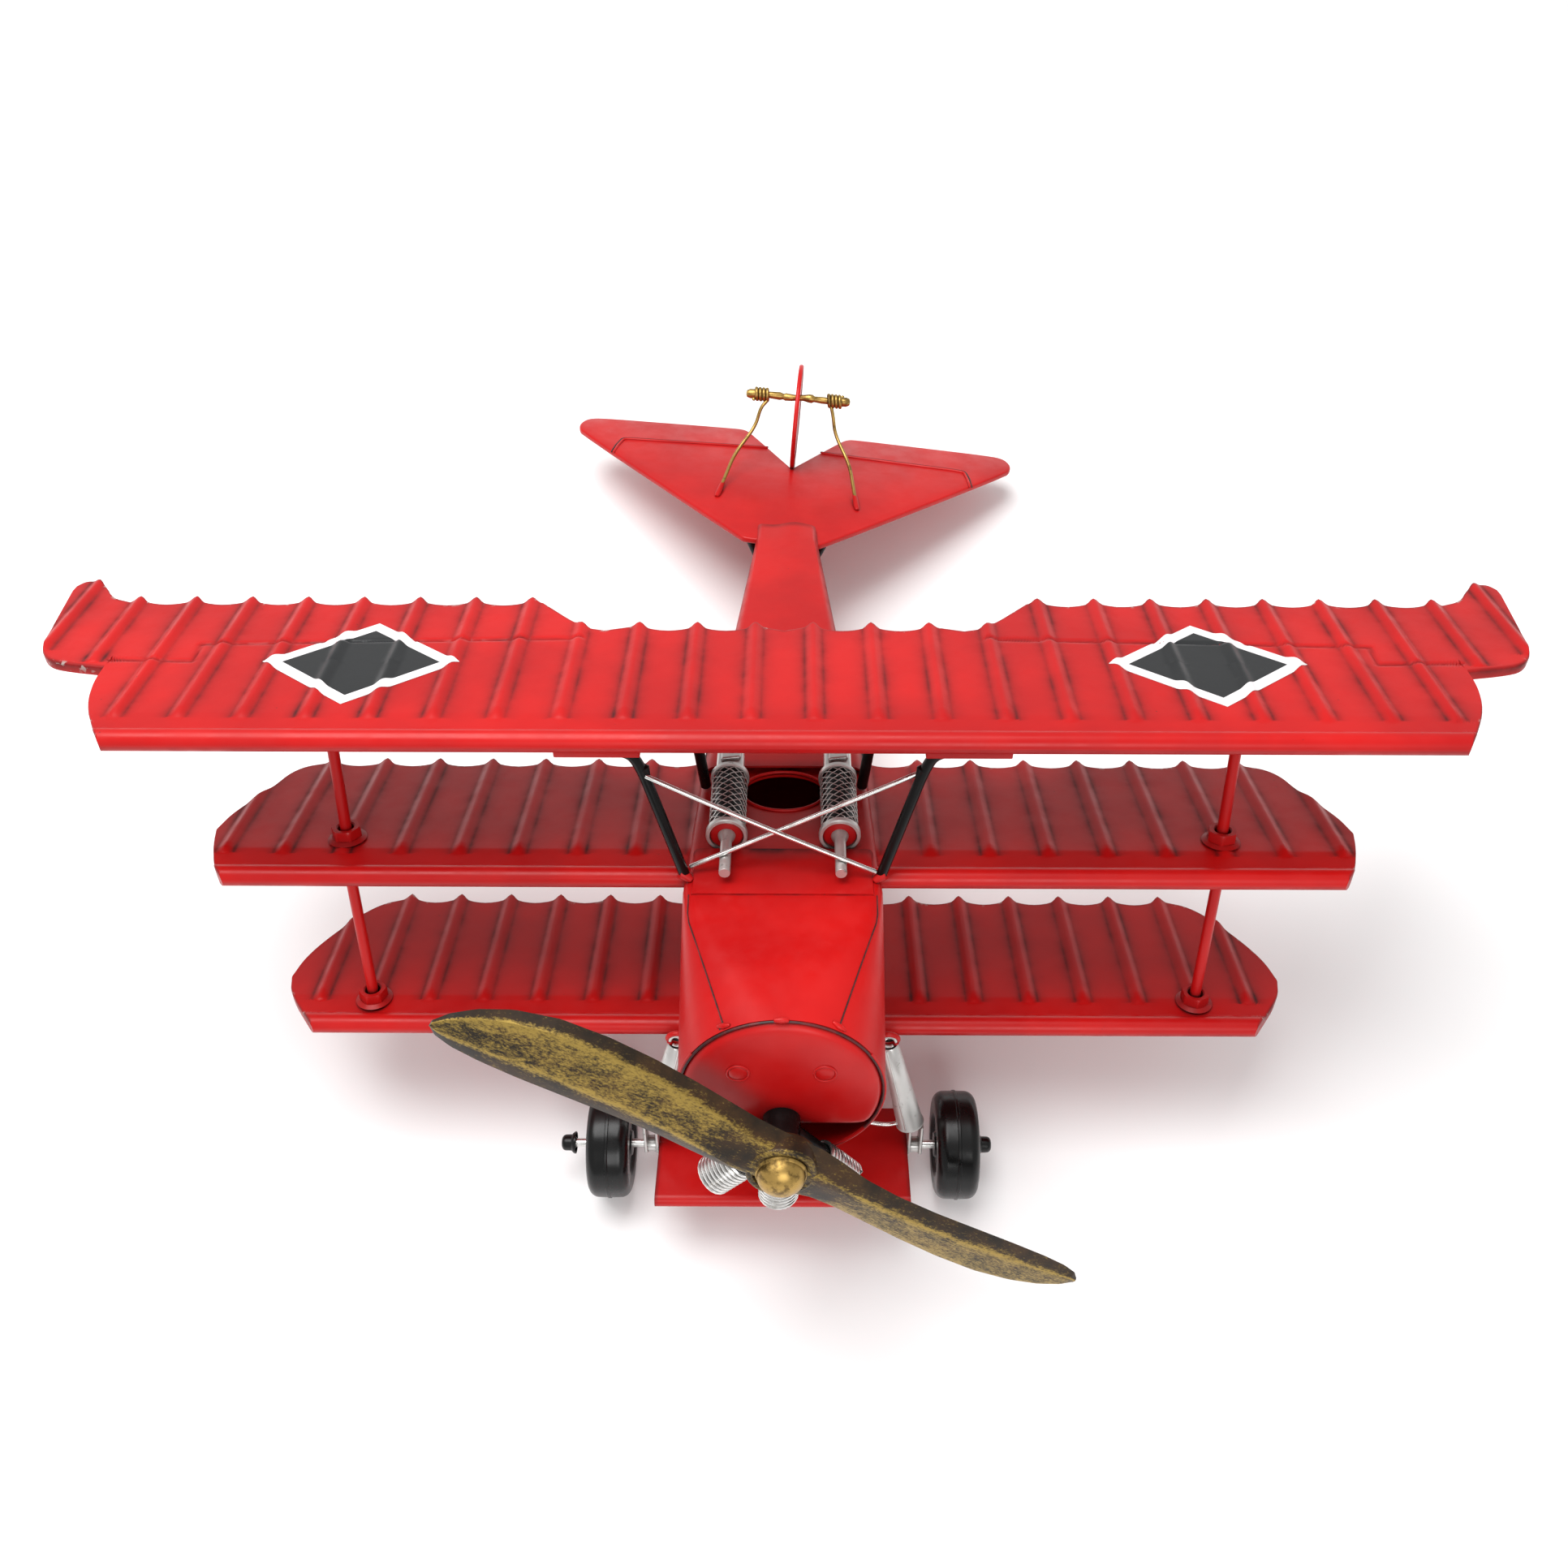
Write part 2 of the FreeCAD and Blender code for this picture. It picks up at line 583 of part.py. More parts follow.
def build_propeller():
    """Two scimitar blades on a round boss, bored for the shaft."""
    rear = size("hub_rear_y")
    front = size("hub_front_y")
    mid = (rear + front) / 2.0 + 0.4
    scale = size("blade_reach") / BLADE_STATIONS[-1][0]
    wires = [blade_section(radius * scale, chord, thickness, pitch, offset)
             for radius, chord, thickness, pitch, offset in BLADE_STATIONS]
    blade = Part.makeLoft(wires, True, False)
    blade.translate(V(0, mid, 0))
    other = blade.copy()
    other.rotate(V(0, 0, 0), ALONG, 180.0)
    boss = Part.makeCylinder(size("hub_radius"), rear - front, V(0, front, 0), ALONG)
    boss = boss.makeFillet(1.6, [edge for edge in boss.Edges if edge.Length > 20])
    bore = Part.makeCylinder(size("shaft_radius") + size("snug_gap"), 20.0, V(0, front - 5, 0), ALONG)
    propeller = boss.fuse([blade, other]).cut(bore)
    guard = box(V(-120, rear, -120), V(120, rear + 20, 120))
    propeller = propeller.cut(guard)
    propeller.rotate(V(0, 0, 0), ALONG, size("blade_angle"))
    propeller.translate(V(0, 0, size("thrust_z")))
    add_shape("propeller", propeller)


def build_shaft():
    """The shaft, the dome nut that holds the propeller and the collar behind the firewall."""
    thrust = size("thrust_z")
    start = V(0, size("firewall_y") + 7.0, thrust)
    end = V(0, size("hub_front_y") - 3.4, thrust)
    rod("propeller_shaft", start, end, "shaft_radius")
    front = size("hub_front_y") - size("snug_gap")
    radius = size("nut_radius")
    rim = size("nut_rim")
    rise = size("nut_dome")
    profile = Part.Wire([
        Part.makeLine(V(0, 0, 0), V(radius, 0, 0)),
        Part.makeLine(V(radius, 0, 0), V(radius, 0, rim)),
        Part.Arc(V(radius, 0, rim), V(radius * 0.72, 0, rim + rise * 0.69), V(0.8, 0, rim + rise)).toShape(),
        Part.makeLine(V(0.8, 0, rim + rise), V(0, 0, rim + rise)),
        Part.makeLine(V(0, 0, rim + rise), V(0, 0, 0)),
    ])
    nut = Part.Face(profile).revolve(V(0, 0, 0), UP, FULL_TURN)
    nut = nut.cut(Part.makeCylinder(size("shaft_radius") + size("snug_gap"), 3.6, V(0, 0, -0.2), UP))
    nut.Placement = aim(V(0, front, thrust), V(0, front - 1, thrust))
    add_shape("propeller_nut", nut)
    collar_outer = primitive("Cylinder", "collar_outer", {"Radius": "Dimensions.crankcase_radius",
                                                          "Height": "3.0"})
    collar_bore = primitive("Cylinder", "collar_bore", {
        "Radius": "Dimensions.shaft_radius + Dimensions.snug_gap", "Height": "3.0"})
    collar_y = size("firewall_y") + 3.3
    place = STAND.multiply(aim(V(0, collar_y, thrust), V(0, collar_y + 1, thrust)))
    combine("Cut", "shaft_collar", collar_outer, collar_bore, place)


# ---------------------------------------------------------------- struts and wires

def build_interplane():
    """A red rod between each pair of wings, each foot standing inside a hex nut."""
    x = size("interplane_x")
    proud = size("rib_radius") + 0.25
    nut_solids = []
    washer_solids = []
    spans = [
        ("upper", 13.9, 5.9, top, size("aileron_chord") + 12.0, middle),
        ("lower", 2.2, -3.9, middle, size("middle_chord"), lower),
    ]
    washer = size("washer_gauge")
    play = size("washer_play")
    for name, head_y, foot_y, roof, chord, floor in spans:
        washer_z = roof.under(head_y, chord) - play - washer
        head_z = washer_z - 2 * play
        foot_z = floor.top(foot_y) + proud
        for side in (-1, 1):
            rod("%s_strut_%s" % (name, side_name(side)), V(side * x, foot_y, foot_z),
                V(side * x, head_y, head_z), "interplane_radius")
            lean = FreeCAD.Rotation(UP, V(0, floor.fall, 1))
            nut = hex_nut()
            nut.Placement = FreeCAD.Placement(V(side * x, foot_y, foot_z), lean)
            nut_solids.append(nut)
            disc = Part.makeCylinder(size("washer_radius"), washer)
            disc.Placement = FreeCAD.Placement(V(side * x, head_y, washer_z), roof.under_lean(chord))
            washer_solids.append(disc)
    add_shape("strut_nuts", Part.makeCompound(nut_solids))
    add_shape("strut_washers", Part.makeCompound(washer_solids))


def hex_nut():
    """A plain nut, wider in the bore than the rod that stands in it."""
    corner = size("nut_flats") / math.sqrt(3.0)
    height = size("nut_height")
    points = [V(corner * math.cos(math.radians(60 * k)), corner * math.sin(math.radians(60 * k)), 0)
              for k in range(6)]
    body = prism(points, V(0, 0, height))
    crown = Part.makeCone(corner + 1.0, corner - 0.35, height, V(0, 0, 0), UP)
    return body.common(crown).cut(Part.makeCylinder(size("nut_bore"), height + 2, V(0, 0, -1), UP))


CABANE_FOOT_X = 36.6
CABANE_SEAT_X = 41.6
CABANE_ELBOW = (35.0, -5.4, -12.6)
CABANE_BASE = (25.2, -12.4, -41.4)


def build_cabane():
    """Two pairs of black struts that hold the top wing, with crossed wires between the front pair."""
    radius = size("cabane_radius")
    bead_floor = top.z - BEAD_DROP - size("bead_radius")
    gauge = size("foot_gauge")
    for side in (-1, 1):
        plate_z = bead_floor - 0.05 - gauge
        plate = box(V(35.0, -9.4, plate_z), V(55.6, -1.6, plate_z + gauge))
        plate = plate.makeFillet(1.6, upright_edges(plate))
        if side < 0:
            plate = mirrored(plate)
        add_shape("cabane_foot_" + side_name(side), plate)
        points = [
            V(side * CABANE_SEAT_X, CABANE_ELBOW[1], plate_z - radius - 0.05),
            V(side * CABANE_FOOT_X, CABANE_ELBOW[1], plate_z - radius - 0.35),
            V(side * CABANE_ELBOW[0], CABANE_ELBOW[1], CABANE_ELBOW[2]),
            V(side * CABANE_BASE[0], CABANE_BASE[1], CABANE_BASE[2] + 0.6),
        ]
        add_shape("front_cabane_" + side_name(side), bent_rod_shape(points, radius, 2.4))
        foot_y = 27.4
        low = V(side * 21.8, foot_y, size("deck_seat_z") + 0.75)
        high = V(side * 25.6, 20.3, top.under(20.3, size("aileron_chord") + 12.0) - 0.35)
        rod("rear_cabane_" + side_name(side), low, high, "cabane_radius")
    for name, side, shift in (("a", -1, -0.9), ("b", 1, 0.9)):
        upper_end = V(side * (CABANE_ELBOW[0] - 2.4), CABANE_ELBOW[1] - 0.6 + shift, CABANE_ELBOW[2] - 2.0)
        lower_end = V(-side * (CABANE_BASE[0] - 2.2), CABANE_BASE[1] + 0.6 + shift, CABANE_BASE[2] + 1.6)
        rod("brace_wire_" + name, lower_end, upper_end, "brace_radius")


# ---------------------------------------------------------------- guns

def build_guns():
    """Two dummy guns: a drilled jacket between two rings, a barrel and a square receiver."""
    z = size("gun_z")
    front = size("jacket_front_y")
    rear = size("jacket_rear_y")
    width = size("ring_width")
    outer = size("ring_radius")
    wall = size("jacket_wall")
    tube = size("jacket_radius")
    for side in (-1, 1):
        x = side * size("gun_x")
        name = side_name(side)
        jacket = Part.makeCylinder(tube, rear - front, V(x, front, z), ALONG)
        jacket = jacket.fuse([
            Part.makeCylinder(outer, width, V(x, front, z), ALONG),
            Part.makeCylinder(outer, width, V(x, rear - width, z), ALONG),
        ])
        jacket = jacket.cut(Part.makeCylinder(tube - wall, rear - front + 2, V(x, front - 1, z), ALONG))
        disc = Part.makeCylinder(tube - wall, 1.0, V(x, front + 1.4, z), ALONG)
        bore = Part.makeCylinder(size("barrel_radius") + size("snug_gap"), 4.0, V(x, front, z), ALONG)
        add_shape("gun_jacket_" + name, jacket.fuse(disc).cut(bore).removeSplitter())
        rod("gun_barrel_" + name, V(x, size("muzzle_y"), z), V(x, rear - 2.0, z), "barrel_radius")
        half = size("receiver_width") / 2.0
        height = size("receiver_height")
        receiver = box(V(x - half, rear + 0.05, z - height / 2.0 + 0.4),
                       V(x + half, size("receiver_rear_y"), z + height / 2.0))
        long_edges = [e for e in receiver.Edges
                      if abs(e.Vertexes[0].Y - e.Vertexes[-1].Y) > 5 and e.Vertexes[0].Z > z]
        receiver = receiver.makeFillet(1.8, long_edges)
        add_shape("gun_receiver_" + name, receiver)


# ---------------------------------------------------------------- tail

def build_tail():
    """Flat stabiliser, round rudder, and the control bar with its two wound wires."""
    gauge = size("tail_gauge")
    plane = size("tail_plane_z")
    outline = [
        (0.0, 222.4), (18.6, 251.4), (20.6, 253.6), (24.0, 254.0), (80.0, 251.2), (83.6, 249.4),
        (86.0, 245.6), (86.4, 241.0), (84.6, 237.0), (15.4, 165.2), (12.6, 163.6),
    ]
    right = [V(x, y, plane - gauge) for x, y in outline]
    left = [V(-x, y, plane - gauge) for x, y in reversed(outline[1:])]
    stabiliser = Part.Face(polygon(right + left)).extrude(V(0, 0, gauge))
    add_shape("stabiliser", stabiliser, TAIL)
    thin = size("rudder_gauge")
    centre_y = size("rudder_y")
    centre_z = size("rudder_z")
    disc = Part.makeCylinder(size("rudder_radius"), thin, V(-thin / 2, centre_y, centre_z), ACROSS)
    tongue = prism([V(-thin / 2, 226.0, -40.0), V(-thin / 2, 240.0, -42.0), V(-thin / 2, 236.0, -56.0),
                    V(-thin / 2, 226.0, -57.0)], V(thin, 0, 0))
    rudder = disc.fuse(tongue).removeSplitter()
    rudder = rudder.cut(box(V(-5, 200.0, -70.0), V(5, 225.6, plane + 2.0)))
    bar_hole = Part.makeCylinder(size("horn_bar_radius") + size("snug_gap"), 10.0,
                                 V(-5, size("horn_y"), size("horn_z")), ACROSS)
    add_shape("rudder", rudder.cut(bar_hole), TAIL)
    half = size("horn_half")
    rod("horn_bar", V(-half, size("horn_y"), size("horn_z")), V(half, size("horn_y"), size("horn_z")),
        "horn_bar_radius", TAIL)
    for side in (-1, 1):
        add_shape("horn_wire_" + side_name(side), horn_wire(side), TAIL)


def horn_wire(side):
    """Four turns round the end of the bar, then down to the stabiliser in two bends."""
    wire = size("horn_wire_radius")
    outer = size("horn_coil_radius")
    x = side * (size("horn_half") - 6.6)
    y, z = size("horn_y"), size("horn_z")
    coil = coil_shape(4, 1.32, outer, V(x, y, z), V(side, 0, 0))
    coil = coil.cut(Part.makeCylinder(size("horn_bar_radius") + size("snug_gap"), 12.0,
                                      V(x - side * 2, y, z), V(side, 0, 0)))
    start = V(x + side * 3.2, y - outer + wire, z - 0.6)
    points = [start, V(x + side * 3.8, y - 3.6, z - 9.0), V(side * 22.2, y - 14.0, z - 19.0),
              V(side * 25.6, 195.0, size("tail_plane_z") + wire + 0.1)]
    return coil.fuse(bent_rod_shape(points, wire, 4.0))


def build_tail_braces():
    """Dark stays from the stern to the underside of the stabiliser."""
    for side in (-1, 1):
        low = V(side * 9.8, 176.0, -57.0)
        high = V(side * 14.2, 173.0, -44.9 - side * 1.05)
        rod("tail_brace_" + side_name(side), low, high, "cabane_radius")


# ---------------------------------------------------------------- undercarriage

STRUT_TOP = (29.2, -22.6, -94.6)
STRUT_FOOT = (36.4, -23.6, -126.6)


def build_undercarriage():
    """Rolled front struts, plain rear struts, the axle with its fairing, and the spreader wire."""
    axle_y = size("axle_y")
    axle_z = size("axle_z")
    for side in (-1, 1):
        name = side_name(side)
        head = V(side * STRUT_TOP[0], STRUT_TOP[1], STRUT_TOP[2])
        foot = V(side * STRUT_FOOT[0], STRUT_FOOT[1], STRUT_FOOT[2])
        length = (foot - head).Length
        along = foot - head
        roll = Part.makeCone(2.5, 3.9, length, head, along)
        roll = roll.cut(Part.makeCone(1.9, 3.3, length + 0.02, head, along))
        eye = Part.makeTorus(2.7, 0.7, head - along.normalize() * 2.6 + V(0, -0.6, 0), ALONG)
        add_shape("front_strut_" + name, roll.fuse(eye))
        low = V(side * 37.2, axle_y + 4.6, axle_z + 5.4)
        high = V(side * 28.4, 3.4, lower.under(3.4, size("lower_chord")) - 0.4)
        rod("rear_strut_" + name, low, high, "horn_wire_radius")
        add_shape("axle_bracket_" + name, axle_bracket(side))
    wire_end = V(STRUT_FOOT[0] - 4.3, axle_y - 0.6, STRUT_FOOT[2] + 0.6)
    rod("spreader_wire", V(-wire_end.x, wire_end.y, wire_end.z), wire_end, "brace_radius")
    left_end = -(size("left_cap_x") + size("cap_length") - 1.4)
    right_end = size("right_cap_x") + size("cap_length") - 1.4
    rod("axle", V(left_end, axle_y, axle_z), V(right_end, axle_y, axle_z), "axle_radius")
    build_fairing()


def axle_bracket(side):
    """A flat sleeve that hangs from the strut and holds the axle."""
    half = size("bracket_width") / 2.0
    x = side * size("bracket_x")
    y, z = size("axle_y"), size("axle_z")
    block = box(V(x - half, y - 3.0, z), V(x + half, y + 3.0, STRUT_FOOT[2] - 1.4))
    round_end = Part.makeCylinder(3.0, 2 * half, V(x - half, y, z), ACROSS)
    bore = Part.makeCylinder(size("axle_radius") + size("snug_gap"), 12.0, V(x - 6, y, z), ACROSS)
    return block.fuse(round_end).cut(bore).removeSplitter()


def build_fairing():
    """The small wing round the axle, as a body with a sketched section padded across the track."""
    body = doc.addObject("PartDesign::Body", "axle_fairing")
    plane = [item for item in body.Origin.OriginFeatures if item.Role == "YZ_Plane"][0]
    sketch = body.newObject("Sketcher::SketchObject", "fairing_section")
    sketch.AttachmentSupport = [(plane, "")]
    sketch.MapMode = "FlatFace"
    front, rear = size("fairing_front_y"), size("fairing_rear_y")
    z = size("axle_z")
    half = size("fairing_gauge") / 2.0
    edge = size("fairing_edge") / 2.0
    nose = front + half
    sketch.addGeometry(Part.LineSegment(V(nose, z + half, 0), V(rear, z + edge, 0)), False)
    sketch.addGeometry(Part.LineSegment(V(rear, z + edge, 0), V(rear, z - edge, 0)), False)
    sketch.addGeometry(Part.LineSegment(V(rear, z - edge, 0), V(nose, z - half, 0)), False)
    sketch.addGeometry(Part.Arc(V(nose, z - half, 0), V(front, z, 0), V(nose, z + half, 0)), False)
    bore = size("axle_radius") + size("snug_gap")
    sketch.addGeometry(Part.Circle(V(size("axle_y"), z, 0), UP, bore), False)
    pad = body.newObject("PartDesign::Pad", "fairing_pad")
    pad.Profile = sketch
    pad.Midplane = True
    pad.setExpression("Length", "Dimensions.fairing_half * 2")
    doc.recompute()
    keep(body, "axle_fairing")


def build_wheels():
    """Moulded wheels that turn on the axle, each kept on by a push-on cap."""
    radius = size("wheel_radius")
    half = size("wheel_width") / 2.0
    bore = size("axle_radius") + size("running_gap")
    shoulder = 3.0
    for side in (-1, 1):
        name = side_name(side)
        profile = Part.Wire([
            Part.makeLine(V(bore, 0, -half), V(9.2, 0, -half)),
            Part.Arc(V(9.2, 0, -half), V(9.8, 0, -half + 0.8), V(10.4, 0, -half)).toShape(),
            Part.makeLine(V(10.4, 0, -half), V(radius - shoulder, 0, -half)),
            Part.Arc(V(radius - shoulder, 0, -half), V(radius - 0.88, 0, -half + 0.88),
                     V(radius, 0, -half + shoulder)).toShape(),
            Part.makeLine(V(radius, 0, -half + shoulder), V(radius, 0, half - shoulder)),
            Part.Arc(V(radius, 0, half - shoulder), V(radius - 0.88, 0, half - 0.88),
                     V(radius - shoulder, 0, half)).toShape(),
            Part.makeLine(V(radius - shoulder, 0, half), V(10.4, 0, half)),
            Part.Arc(V(10.4, 0, half), V(9.8, 0, half - 0.8), V(9.2, 0, half)).toShape(),
            Part.makeLine(V(9.2, 0, half), V(bore, 0, half)),
            Part.makeLine(V(bore, 0, half), V(bore, 0, -half)),
        ])
        wheel = Part.Face(profile).revolve(V(0, 0, 0), UP, FULL_TURN)
        centre = V(side * size("wheel_x"), size("axle_y"), size("axle_z"))
        wheel.Placement = aim(centre, centre + ACROSS)
        add_shape("wheel_" + name, wheel)
        add_shape("hub_cap_" + name, hub_cap(side))


def hub_cap(side):
    """A flanged dome pushed on the end of the axle."""
    inner = size("left_cap_x") if side < 0 else size("right_cap_x")
    radius = size("cap_radius")
    length = size("cap_length")
    profile = Part.Wire([
        Part.makeLine(V(0, 0, 0), V(radius, 0, 0)),
        Part.makeLine(V(radius, 0, 0), V(radius, 0, 0.9)),
        Part.makeLine(V(radius, 0, 0.9), V(2.4, 0, 1.2)),
        Part.makeLine(V(2.4, 0, 1.2), V(2.3, 0, length - 1.4)),
        Part.Arc(V(2.3, 0, length - 1.4), V(1.7, 0, length - 0.4), V(0.7, 0, length)).toShape(),
        Part.makeLine(V(0.7, 0, length), V(0, 0, length)),
        Part.makeLine(V(0, 0, length), V(0, 0, 0)),
    ])
    cap = Part.Face(profile).revolve(V(0, 0, 0), UP, FULL_TURN)
    cap = cap.cut(Part.makeCylinder(size("axle_radius") + size("snug_gap"), length - 1.2, V(0, 0, -0.2), UP))
    start = V(side * inner, size("axle_y"), size("axle_z"))
    cap.Placement = aim(start, start + V(side, 0, 0))
    return cap


def build_skid():
    """A bent bar under the stern, ending in a shoe that lies flat on the floor."""
    lift = STAND.inverse()
    foot_length = size("skid_foot_length")
    gauge = size("skid_foot_gauge")
    heel = STAND.multVec(V(0, 200.0, -72.0))
    shoe = box(V(-2.6, heel.y - 2.0, 0.0), V(2.6, heel.y - 2.0 + foot_length, gauge))
    shoe = shoe.makeFillet(1.2, upright_edges(shoe))
    knee = V(0, heel.y + 2.4, gauge - 0.4)
    root_point = STAND.multVec(V(0, 190.0, -60.75))
    path = [root_point, V(0, heel.y + 1.2, root_point.z - 6.0), knee]
    bar = bent_rod_shape(path, size("skid_radius"), 3.0)
    skid = bar.fuse(shoe)
    skid.Placement = lift.multiply(skid.Placement)
    add_shape("tail_skid", skid)


# ---------------------------------------------------------------- wing marks

def build_marks():
    """Plain bordered lozenges, stuck on the top wing between the ribs."""
    plates = []
    for side in (-1, 1):
        centre = V(side * 7.02 * PITCH, 0, 0)
        across, deep = 26.0, 20.6
        middle_y = 24.2
        y_top = [middle_y - deep, middle_y, middle_y + deep, middle_y]
        x_top = [0.0, across, 0.0, -across]
        points = [V(centre.x + x, y, top.top(y) + 0.02) for x, y in zip(x_top, y_top)]
        plate = prism(points, V(0, 0, 0.15))
        for index in range(5, 9):
            plate = plate.cut(top.rib(side * (index + 0.5) * PITCH, size("aileron_chord")))
        plates.append(plate)
    add_shape("wing_marks", Part.makeCompound(plates))


# ---------------------------------------------------------------- assembly

build_top_wing()
build_plain_wing("middle_wing", middle, "middle_chord", "middle_tip_x", "middle_edge_x", 10)
build_plain_wing("lower_wing", lower, "lower_chord", "lower_tip_x", "lower_edge_x", 9)
build_fuselage()
build_cowl()
build_nose_plate()
build_firewall()
build_nose_deck()
build_rear_deck()
build_engine()
build_propeller()
build_shaft()
build_interplane()
build_cabane()
build_guns()
build_tail()
build_tail_braces()
build_undercarriage()
build_wheels()
build_skid()
build_marks()
doc.recompute()

for obj in doc.Objects:
    if "Invalid" in obj.State or "Error" in obj.State:
        raise RuntimeError("failed object: " + obj.Label)
for obj in nodes:
    if obj.Shape.isNull() or not obj.Shape.isValid():
        raise RuntimeError("bad shape: " + obj.Label)

os.makedirs("parts", exist_ok=True)
for obj in nodes:
    obj.Shape.exportStep("parts/%s.step" % obj.Label)
whole = Part.makeCompound([obj.Shape for obj in nodes]).BoundBox
print("sub-parts:", len(nodes))
print("box: X %.1f..%.1f  Y %.1f..%.1f  Z %.1f..%.1f" % (
    whole.XMin, whole.XMax, whole.YMin, whole.YMax, whole.ZMin, whole.ZMax))
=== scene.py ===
import json
import math

import bmesh
import bpy
import numpy as np
from mathutils import Matrix, Vector


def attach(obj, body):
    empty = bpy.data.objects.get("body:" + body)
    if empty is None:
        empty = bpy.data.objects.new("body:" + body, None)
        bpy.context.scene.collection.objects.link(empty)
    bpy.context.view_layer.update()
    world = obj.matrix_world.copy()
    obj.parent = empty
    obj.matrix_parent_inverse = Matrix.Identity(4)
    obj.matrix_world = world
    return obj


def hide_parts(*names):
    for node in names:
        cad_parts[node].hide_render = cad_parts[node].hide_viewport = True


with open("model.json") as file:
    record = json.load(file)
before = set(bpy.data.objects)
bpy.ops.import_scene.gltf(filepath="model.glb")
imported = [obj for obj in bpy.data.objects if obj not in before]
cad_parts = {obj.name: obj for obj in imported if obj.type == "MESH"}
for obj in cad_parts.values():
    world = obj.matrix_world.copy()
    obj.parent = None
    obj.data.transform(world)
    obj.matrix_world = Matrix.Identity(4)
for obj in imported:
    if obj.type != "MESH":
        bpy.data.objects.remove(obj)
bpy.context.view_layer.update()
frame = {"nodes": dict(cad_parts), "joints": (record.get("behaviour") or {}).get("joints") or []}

# The looks of a tinplate triplane ornament.  Pieces are drawn in airframe millimetres: X across the span,
# Y from the nose to the tail, Z up, with the origin on the upper wing where its ribs start.  STAND puts
# them into the row frame, in metres.

JOINTS = {joint["name"]: joint for joint in frame["joints"]}
MM = 0.001

# ------------------------------------------------------------------ the frame

PITCH = 15.6
AXLE = Vector((0.0, -23.3, -137.5))
THRUST_Z = -77.2
ENGINE_Y = -65.8
BLADE_ANGLE = math.radians(33.7)
TAIL_PIVOT = Vector((0.0, 193.0, -41.4))
TAIL_ROLL = math.radians(4.3)
TAIL_YAW = math.radians(-3.4)


def standing_matrix():
    """Airframe millimetres to the row frame, from the propeller's axis and a wheel's centre."""
    thrust = JOINTS["propeller_spin"]["axis"]
    tilt = math.atan2(thrust[2], -thrust[1])
    turn = Matrix.Rotation(-tilt, 4, "X") @ Matrix.Scale(MM, 4)
    wheel = Vector(JOINTS["right_wheel_spin"]["pos_m"])
    offset = wheel - turn @ AXLE
    return Matrix.Translation(Vector((0.0, offset.y, offset.z))) @ turn


STAND = standing_matrix()
TAIL = (STAND @ Matrix.Translation(TAIL_PIVOT) @ Matrix.Rotation(TAIL_YAW, 4, "Z")
        @ Matrix.Rotation(TAIL_ROLL, 4, "Y") @ Matrix.Translation(-TAIL_PIVOT))


# ------------------------------------------------------------------ mesh helpers

class Shape:
    """Vertices and faces in millimetres, with a wash and a rub value for each vertex."""

    def __init__(self):
        self.verts = []
        self.faces = []
        self.wash = []
        self.rub = []
        self.inks = []

    def add(self, verts, faces, wash=0.0, rub=0.0, ink=0):
        base = len(self.verts)
        self.verts += [Vector(v) for v in verts]
        self.faces += [[base + i for i in face] for face in faces]
        self.inks += [ink] * len(faces)
        self.wash += list(wash) if hasattr(wash, "__len__") else [wash] * len(verts)
        self.rub += list(rub) if hasattr(rub, "__len__") else [rub] * len(verts)
        return self

    def moved(self, matrix):
        self.verts = [matrix @ v for v in self.verts]
        return self

    def join(self, other):
        base = len(self.verts)
        self.verts += other.verts
        self.faces += [[base + i for i in face] for face in other.faces]
        self.inks += other.inks
        self.wash += other.wash
        self.rub += other.rub
        return self


def grid_faces(rows, columns, wrap_rows=False, wrap_columns=False):
    """Quads of a grid whose vertex index is row * columns + column."""
    faces = []
    for i in range(rows if wrap_rows else rows - 1):
        for j in range(columns if wrap_columns else columns - 1):
            a, b = i, (i + 1) % rows
            c, d = j, (j + 1) % columns
            faces.append([a * columns + c, b * columns + c, b * columns + d, a * columns + d])
    return faces


def frames_along(points):
    """A pair of directions across the path at each point, carried along without twist."""
    pairs = []
    side = None
    for k in range(len(points)):
        tangent = (points[min(k + 1, len(points) - 1)] - points[max(k - 1, 0)]).normalized()
        if side is None:
            side = tangent.orthogonal().normalized()
        side = (side - tangent * side.dot(tangent)).normalized()
        pairs.append((side, tangent.cross(side)))
    return pairs


def sweep(points, radius, sides=14, dome=False):
    """A round bar along points; radius is a number or one number for each point."""
    points = [Vector(p) for p in points]
    radii = list(radius) if hasattr(radius, "__len__") else [radius] * len(points)
    if dome:
        first = (points[0] - points[1]).normalized()
        last = (points[-1] - points[-2]).normalized()
        points = ([points[0] + first * radii[0] * 0.55, points[0] + first * radii[0] * 0.35] + points
                  + [points[-1] + last * radii[-1] * 0.35, points[-1] + last * radii[-1] * 0.55])
        radii = [radii[0] * 0.45, radii[0] * 0.85] + radii + [radii[-1] * 0.85, radii[-1] * 0.45]
    verts = []
    for point, (side, up), r in zip(points, frames_along(points), radii):
        for k in range(sides):
            turn = 2 * math.pi * k / sides
            verts.append(point + (side * math.cos(turn) + up * math.sin(turn)) * r)
    faces = grid_faces(len(points), sides, wrap_columns=True)
    faces.append(list(range(sides))[::-1])
    faces.append([(len(points) - 1) * sides + k for k in range(sides)])
    return Shape().add(verts, faces)


